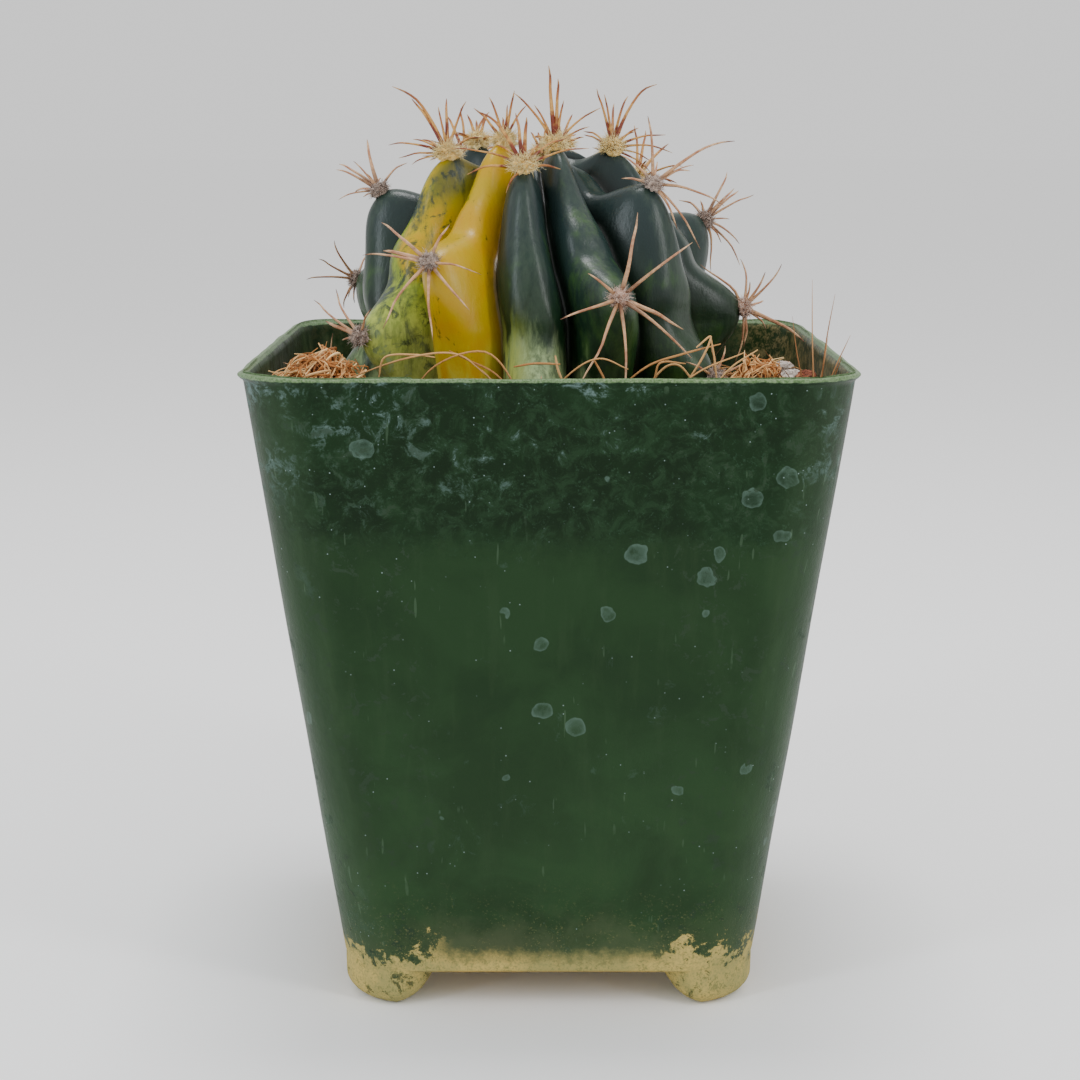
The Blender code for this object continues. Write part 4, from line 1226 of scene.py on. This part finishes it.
# %% Fill the pot
MIX_TOP = mix_high[2]
MIX_BOTTOM = FLOOR_LEVEL + 1.3 * MM
MIX_CLEAR = 0.3 * MM         # between the mix and the wall
GRAINS = 2600
LITTER = 520
mix = square_block("mix_body", BASE_HALF, BASE_CORNER, MIX_BOTTOM, MIX_TOP)
fine_steps = np.linspace(-straight_half, straight_half, 61)
for axis in (0, 1):
    cut_grid(mix, axis, fine_steps)
settle(mix)
body = to_wall(points_of(mix), BASE_HALF, BASE_CORNER, WALL + MIX_CLEAR)
for i, (x, y, z) in enumerate(body):
    if z > MIX_TOP - 1 * MM:
        at = Vector((x, y, 0))
        body[i, 2] += 0.9 * MM * noise.fractal(at / (7 * MM), 0.9, 2.1, 5) - 0.9 * MM
put_points(mix, body)
smooth(mix, 60)


def scatter_place(draw, margin):
    """A place on the mix that isn't under the stem."""
    while True:
        reach = wall_half(MIX_TOP) - WALL - margin
        x, y = draw.uniform(-reach, reach), draw.uniform(-reach, reach)
        if max(abs(x), abs(y)) > reach - 6 * MM and abs(abs(x) - abs(y)) < 3 * MM:
            continue
        if math.hypot(x - STEM_X, y - STEM_Y) > 27 * MM:
            return x, y


select_nothing()
bpy.ops.mesh.primitive_ico_sphere_add(subdivisions=1, radius=1.0)
pebble = name_piece("pebble")
pebble_points = points_of(pebble)
pebble_faces = [tuple(face.vertices) for face in pebble.data.polygons]
bpy.data.objects.remove(pebble)


def add_grain(bundle, draw, x, y, z, size):
    """One angular grain, turned at random."""
    turn = Quaternion([draw.gauss(0, 1) for _ in range(4)]).normalized()
    squash = np.array([draw.uniform(0.6, 1.3), draw.uniform(0.6, 1.1), draw.uniform(0.4, 0.9)])
    jitter = np.array([[draw.uniform(0.75, 1.2)] for _ in pebble_points])
    points = pebble_points * jitter * squash * size
    points = points @ np.array(turn.to_matrix()).T + (x, y, z)
    bundle.add(points, pebble_faces, 0.0, draw.random())


draw = random.Random(41)
grains = Bundle()
for _ in range(GRAINS):
    x, y = scatter_place(draw, 2.0 * MM)
    size = draw.choice((0.35, 0.45, 0.6, 0.6, 0.9, 1.3)) * MM
    add_grain(grains, draw, x, y, MIX_TOP - 1.0 * MM + size * 0.4, size)
grit = grains.piece("mix_grains", 25)


# %% [markdown]
# Short bits of fibre lie over the grains. Each one starts somewhere on the mix, runs off about level
# in any direction, and is kept off the stem and the wall.

# %% Bits of fibre on the mix
def loose_strand(draw, x, y, low, length, radius):
    """A short curved strand that lies about level."""
    turn = draw.uniform(0, math.tau)
    ahead = np.array([math.cos(turn), math.sin(turn), draw.uniform(-0.1, 0.4)]) * length
    start = np.array([x, y, low])
    bend = np.array([draw.uniform(-0.3, 0.3), draw.uniform(-0.3, 0.3), draw.uniform(0.0, 0.3)]) * length
    route = [start, start + ahead * 0.5 + bend, start + ahead]
    reach = wall_half(MIX_TOP) - WALL - 0.6 * MM
    for point in route:
        point[:2] = np.clip(point[:2], -reach, reach)
        point[2] = max(low, point[2])
    return [held_off(point, radius * 1.5) for point in route]


def plain_taper(share):
    return 1.0 - 0.45 * abs(2 * share - 1) ** 3


litter = Bundle()
for _ in range(LITTER):
    x, y = scatter_place(draw, 3.0 * MM)
    radius = draw.uniform(0.07, 0.17) * MM
    route = loose_strand(draw, x, y, MIX_TOP - 0.5 * MM, draw.uniform(4, 12) * MM, radius)
    points, faces, along = bent(FIBRE_STRAND, route, radius, plain_taper)
    litter.add(points, faces, along, draw.random())
litter_piece = litter.piece("mix_litter", 60)


# %% [markdown]
# One material does for the mix and its grains. The grains carry a number each, which turns most of
# them dark brown, some tan and a few white.

# %% The mix's materials
def mix_finish():
    soil = Finish("mix_brown", 0.95, Specular_IOR_Level=0.2)
    tone = soil.attribute("tone")
    crumbs = soil.noise(1.4 * MM, 6.0, 0.7)
    clods = soil.noise(7 * MM, 3.0, 0.6)
    colour = soil.blend(crumbs.between(0.35, 0.68), shade(34, 24, 16), shade(96, 70, 44))
    colour = soil.blend(clods.between(0.5, 0.7) * 0.5, colour, shade(58, 40, 26))
    kinds = [(0.0, shade(44, 30, 20)), (0.45, shade(80, 54, 34)), (0.7, shade(134, 98, 62)),
             (0.88, shade(176, 150, 118)), (0.97, shade(206, 198, 186))]
    colour = soil.blend(tone.between(0.001, 0.01), colour, soil.ramp(tone, kinds))
    colour = soil.blend(crumbs.between(0.55, 0.75) * 0.4, colour, shade(40, 28, 20))
    return soil.wear(Base_Color=colour, Normal=soil.bump(crumbs, 0.9 * MM))


def fibre_finish(name, dark, middle, light):
    husk = Finish(name, 0.7, Specular_IOR_Level=0.3)
    tone, along = husk.attribute("tone"), husk.attribute("along")
    grain = husk.noise(0.5 * MM, 4.0, 0.65)
    place = (tone * 0.75 + grain * 0.4 + (along - 0.5) * 0.15).clamped()
    colour = husk.ramp(place, [(0.1, dark), (0.5, middle), (0.95, light)])
    return husk.wear(Base_Color=colour, Roughness=0.6 + grain * 0.2, Normal=husk.bump(grain, 0.08 * MM))


earth = mix_finish()
straw = fibre_finish("straw", shade(92, 54, 24), shade(150, 100, 52), shade(196, 154, 100))
dress(mix, earth, "potting_mix", "potting_mix")
dress(grit, earth, "potting_mix")
dress(litter_piece, straw, "coir")


# %% [markdown]
# ## Coir
#
# Coconut fibre comes as springy lumps. Each lump is a bundle of several hundred thin strands that
# curl round inside a lumpy egg, over a dark core that is painted shade for the shadow deep in the
# lump. Four in ten have sprung out at one end.

# %% Two lumps of coir
def coir_lump(name, node, seed, strands):
    low, high = (np.array(corner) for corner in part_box(node))
    middle, half = (low + high) / 2, (high - low) / 2
    draw = random.Random(seed)
    bundle = Bundle()
    select_nothing()
    bpy.ops.mesh.primitive_ico_sphere_add(subdivisions=5, radius=1.0)
    heart = name_piece("heart")
    points = points_of(heart)
    for i, point in enumerate(points):
        at = Vector(point)
        rough = 0.54 + 0.22 * noise.fractal(at * 1.8 + Vector((seed, 0, 0)), 0.8, 2.0, 5)
        points[i] = point * rough * half + middle
    faces = [tuple(face.vertices) for face in heart.data.polygons]
    # tone 0 gives the core the darkest fibre colour: painted shade deep inside the lump
    bundle.add(points, faces, 0.0, 0.0)
    bpy.data.objects.remove(heart)
    for _ in range(strands):
        start = np.array([draw.gauss(0, 1) for _ in range(3)])
        start /= np.linalg.norm(start)
        turn = np.cross(start, [draw.gauss(0, 1) for _ in range(3)])
        turn /= np.linalg.norm(turn)
        shell_at = draw.uniform(0.62, 0.98)
        sweep = draw.uniform(0.4, 1.3)
        route = []
        for share in (0.0, 0.33, 0.66, 1.0):
            angle = sweep * share
            wobble = 1 + draw.uniform(-0.12, 0.12)
            way = start * math.cos(angle) + turn * math.sin(angle)
            reach = 0.84 + 0.45 * noise.noise(Vector(way) * 1.8 + Vector((seed, 0, 0)))
            route.append(way * shell_at * wobble * reach * half + middle)
        if draw.random() < 0.4:
            route[-1] = route[-1] + (route[-1] - route[-2]) * draw.uniform(0.4, 1.5)
        kept = [held_off(point, 0.3 * MM) for point in route]
        radius = draw.choice((0.08, 0.1, 0.13, 0.18)) * MM
        points, faces, along = bent(FIBRE_STRAND, kept, radius, plain_taper)
        bundle.add(points, faces, along, 0.08 + 0.92 * draw.random())
    return bundle.piece(name, 60)


coir = fibre_finish("coir_husk", shade(84, 42, 16), shade(182, 116, 56), shade(240, 204, 146))
dress(coir_lump("coir_lump_left", "coir_left", 11, 620), coir, "coir", "coir_left")
dress(coir_lump("coir_lump_right", "coir_right", 12, 460), coir, "coir", "coir_right")


# %% [markdown]
# Longer strands have sprung loose and arch in front of the stem. Each is given as a few points in
# mm, and a curve is passed through them.

# %% Loose fibres
LOOSE_FIBRES = {
    "coir_fibre_1": [[(-21, -40, 93), (-16, -41, 99.5), (-9, -41, 101.5), (-5, -41, 97), (-4, -41, 92)],
                     [(-29, -36, 97), (-20, -40, 100.5), (-13, -41, 101.2), (-8.5, -41, 98)],
                     [(-9.5, -41, 99), (-6.5, -41, 96), (-4, -41, 94), (-1, -41, 93.2)],
                     [(-24, -39, 97.5), (-23, -39.5, 100.6), (-19, -40, 101), (-16, -40.5, 100.7)],
                     [(-14, -40.5, 101.6), (-11, -41, 100.2), (-8, -41.3, 98.8), (-6, -41.4, 97)]],
    "coir_fibre_2": [[(-2, -40, 93), (3, -40.5, 98.5), (7, -40.5, 100.5), (11, -40.5, 99)],
                     [(-10, -41, 92.8), (-2, -41.3, 94.3), (6, -41, 94.6)],
                     [(-5, -41, 99.4), (-2, -41.2, 99.9), (1.5, -41.3, 99.8)],
                     [(0.8, -41, 101), (1.2, -41.3, 99), (2, -41.4, 97)]],
    "coir_fibre_3": [[(12, -39.5, 92), (15, -39.5, 98), (18, -39.5, 99.5), (21, -39.5, 96)],
                     [(12, -41.5, 93), (14.5, -41, 97.5), (15.5, -41, 100), (19, -40.5, 99.8)],
                     [(6.2, -41, 100.4), (7.2, -41.2, 98.6), (8, -41.4, 97)],
                     [(10, -40, 96.5), (14, -40.5, 99.6), (19, -40, 101.2), (24, -39, 102.4)]],
    "coir_fibre_4": [[(14, -42, 92), (20, -42, 98.3), (27, -42, 101.5)],
                     [(17, -41, 94), (21, -40.5, 100), (22.5, -40, 103.5), (20.5, -40, 102)],
                     [(21, -41.5, 94), (25, -41, 99), (29, -41, 101.8)],
                     [(22.5, -40, 103.5), (23, -40.6, 100.5), (23.4, -41, 97)]],
}
for node, routes in LOOSE_FIBRES.items():
    draw = random.Random(node)
    bundle = Bundle()
    for route in routes:
        kept = [held_off(np.array(point) * MM, 0.3 * MM) for point in route]
        points, faces, along = bent(LONG_STRAND, kept, draw.uniform(0.13, 0.18) * MM, plain_taper)
        bundle.add(points, faces, along, draw.uniform(0.45, 1.0))
    dress(bundle.piece(node.replace("coir_fibre", "loose_fibre"), 60), straw, "coir", node)


# %% [markdown]
# ## Stones, bark and an old tuft
#
# Pumice is a pale stone full of small holes. The bark chip is a red-brown lump in split layers. Both
# start as a ball that noise makes uneven, kept inside the box that the frame gives them.

# %% Model the stones
def rough_stone(name, node, seed, layers, pits):
    low, high = (np.array(corner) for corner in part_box(node))
    middle, half = (low + high) / 2, (high - low) / 2
    select_nothing()
    bpy.ops.mesh.primitive_ico_sphere_add(subdivisions=6, radius=1.0)
    stone = name_piece(name)
    points = points_of(stone)
    for i, point in enumerate(points):
        at = Vector(point)
        rough = 0.9 + 0.16 * noise.fractal(at * 1.4 + Vector((seed, 0, 0)), 0.7, 2.0, 4)
        hole = noise.voronoi(at * pits + Vector((seed, 0, 0)))[0][0]
        rough -= 0.1 * max(0.0, 0.42 - hole) / 0.42
        rough += layers * 0.05 * math.sin(at.z * 15 + 3 * noise.noise(at * 3))
        points[i] = point * rough * half + middle
    put_points(stone, np.clip(points, low, high))
    smooth(stone, 50)
    return stone


def stone_finish(name, dark, light, spot, bump_depth, stretch=(1.0, 1.0, 1.0)):
    rock = Finish(name, 0.9)
    where = rock.stretched(stretch)
    grain = rock.noise(0.8 * MM, 6.0, 0.7, 0.0, where)
    pits = rock.cells(0.7 * MM, where=where)
    patches = rock.noise(2.6 * MM, 3.0, 0.6, 0.0, where)
    colour = rock.blend(grain.between(0.35, 0.65), dark, light)
    colour = rock.blend(patches.between(0.52, 0.68) * 0.6, colour, spot)
    # painted shade: the pits are darkened towards their middles
    colour = rock.blend((1 - pits.between(0.12, 0.3)) * 0.6, colour, dark)
    return rock.wear(Base_Color=colour, Normal=rock.bump(grain * 0.6 + pits * 0.4, bump_depth))


pumice = stone_finish(
    "pumice_white", shade(150, 136, 124), shade(226, 216, 206), shade(206, 170, 154), 0.35 * MM)
bark = stone_finish(
    "bark_red", shade(74, 30, 16), shade(150, 76, 42), shade(190, 130, 88), 0.5 * MM, (1.0, 1.0, 4.0))
for number in range(1, 7):
    node = f"pumice_{number}"
    dress(rough_stone(f"stone_{number}", node, number * 3.7, 0.0, 4.5), pumice, "pumice", node)
dress(rough_stone("bark_wedge", "bark_chip", 31.0, 1.0, 2.5), bark, "bark", "bark_chip")


# %% [markdown]
# A dead areole, dry and brown, lies on the mix at the front right. Its spines still stand up, each
# given by where its tip is, in mm, and a tangle of short hairs covers its foot.

# %% The dead tuft
TUFT_ROOT = np.array([38.3 * MM, -30.6 * MM, MIX_TOP + 0.5 * MM])
TUFT_TIPS = [(37.5, -31, 110.5), (41, -32, 109.2), (30.5, -36, 101), (43, -30.5, 103), (35, -27, 105),
             (33.5, -34, 98.5), (40.5, -26, 102.5), (42, -35, 100.5)]


def dead_tuft():
    root = TUFT_ROOT
    draw = random.Random(77)
    bundle = Bundle()
    for x, y, z in TUFT_TIPS:
        tip = np.array([x, y, z]) * MM
        route = []
        for share in (0.0, 0.3, 0.65, 1.0):
            sway = np.array([draw.uniform(-0.4, 0.4) for _ in range(3)]) * MM * share
            route.append(held_off(root + (tip - root) * share + sway, 0.35 * MM))
        points, faces, along = bent(SPINE_STRAND, route, draw.uniform(0.2, 0.27) * MM, spine_taper)
        bundle.add(points, faces, along, draw.random())
    for _ in range(130):
        out = np.array([draw.gauss(0, 1.1), draw.gauss(0, 1.1), abs(draw.gauss(0, 1.4))]) * MM
        route = [root + out * 0.3, root + out + (0, 0, 0.8 * MM), root + out * 1.7]
        route = [held_off(point, 0.2 * MM) for point in route]
        points, faces, along = bent(HAIR_STRAND, route, 0.09 * MM, plain_taper)
        bundle.add(points, faces, along, draw.random())
    return bundle.piece("dead_tuft", 50)


dry = fibre_finish("dry_horn", shade(78, 44, 20), shade(134, 84, 46), shade(190, 140, 92))
dress(dead_tuft(), dry, "dry_spines", "dry_spine_tuft")


# %% [markdown]
# The taproot stays as the frame has it, deep in the mix. It only gets its corky skin.

# %% The taproot's skin
def root_finish():
    cork = Finish("root_bark", 0.9)
    rings = cork.noise(1.5 * MM, 4.0, 0.6, 0.0, cork.stretched((1.0, 1.0, 3.0)))
    fissures = cork.cells(1.8 * MM, where=cork.stretched((1.0, 1.0, 0.4)))
    colour = cork.blend(rings.between(0.35, 0.65), shade(84, 58, 36), shade(158, 124, 84))
    colour = cork.blend((1 - fissures.between(0.1, 0.35)) * 0.5, colour, shade(60, 40, 26))
    return cork.wear(Base_Color=colour, Normal=cork.bump(rings * 0.5 + fissures * 0.5, 0.4 * MM))


for obj in bpy.data.objects:
    if obj.name == "taproot":
        obj.data.materials.clear()
        obj.data.materials.append(root_finish())
        print("the taproot has", len(obj.data.polygons), "faces")

# %% [markdown]
# ## A pale floor and soft light
#
# The floor and the room are white. Two tall narrow softboxes draw the long highlights down the ribs,
# and a small square one overhead lifts the crown.

# %% Floor and lights
select_nothing()
bpy.ops.mesh.primitive_plane_add(size=14.0)
floor = name_piece("floor")
paper = Finish("paper", 1.0, Specular_IOR_Level=0.0)
floor.data.materials.append(paper.wear(Base_Color=(0.98, 0.98, 0.98, 1.0)))


MIDDLE = Vector((0.0, 0.0, 0.1))


def softbox(name, place, width, height, power, colour=(1.0, 1.0, 1.0)):
    """A rectangular lamp that faces the middle of the plant."""
    light = bpy.data.lights.new(name, "AREA")
    light.shape = "RECTANGLE"
    light.size = width
    light.size_y = height
    light.energy = power
    light.color = colour
    lamp = bpy.data.objects.new(name, light)
    bpy.context.scene.collection.objects.link(lamp)
    lamp.location = place
    lamp.rotation_euler = (MIDDLE - Vector(place)).to_track_quat("-Z", "Y").to_euler()
    print(name, "gives", power, "W")


softbox("left_strip", (-0.5, -0.42, 0.34), 0.07, 0.5, 1.6, (0.86, 0.94, 1.0))
softbox("right_strip", (0.46, -0.36, 0.36), 0.07, 0.5, 1.45)
softbox("overhead", (0.0, 0.08, 0.75), 0.24, 0.24, 2.6)
world = bpy.data.worlds.new("room")
world.use_nodes = True
world.node_tree.nodes["Background"].inputs["Color"].default_value = (1.0, 1.0, 1.0, 1.0)
world.node_tree.nodes["Background"].inputs["Strength"].default_value = 1.0
bpy.context.scene.world = world

# %% [markdown]
# The camera stands a third of a metre from the pot's middle, a little above the crown, and looks
# slightly down, so that what lies in the corners shows over the lip.

# %% Camera
CAMERA_PLACE = (-1.32 * MM, -337.17 * MM, 133.24 * MM)
LOOKING_DOWN = 11.16         # degrees
camera_data = bpy.data.cameras.new("camera")
camera_data.lens = 71.06
camera_data.sensor_width = 36.0
camera_data.clip_start = 0.01
camera = bpy.data.objects.new("camera", camera_data)
bpy.context.scene.collection.objects.link(camera)
camera.location = CAMERA_PLACE
camera.rotation_euler = (math.radians(90 - LOOKING_DOWN), 0.0, 0.0)
bpy.context.scene.camera = camera
print("the camera has a", round(camera_data.lens, 1), "mm lens")
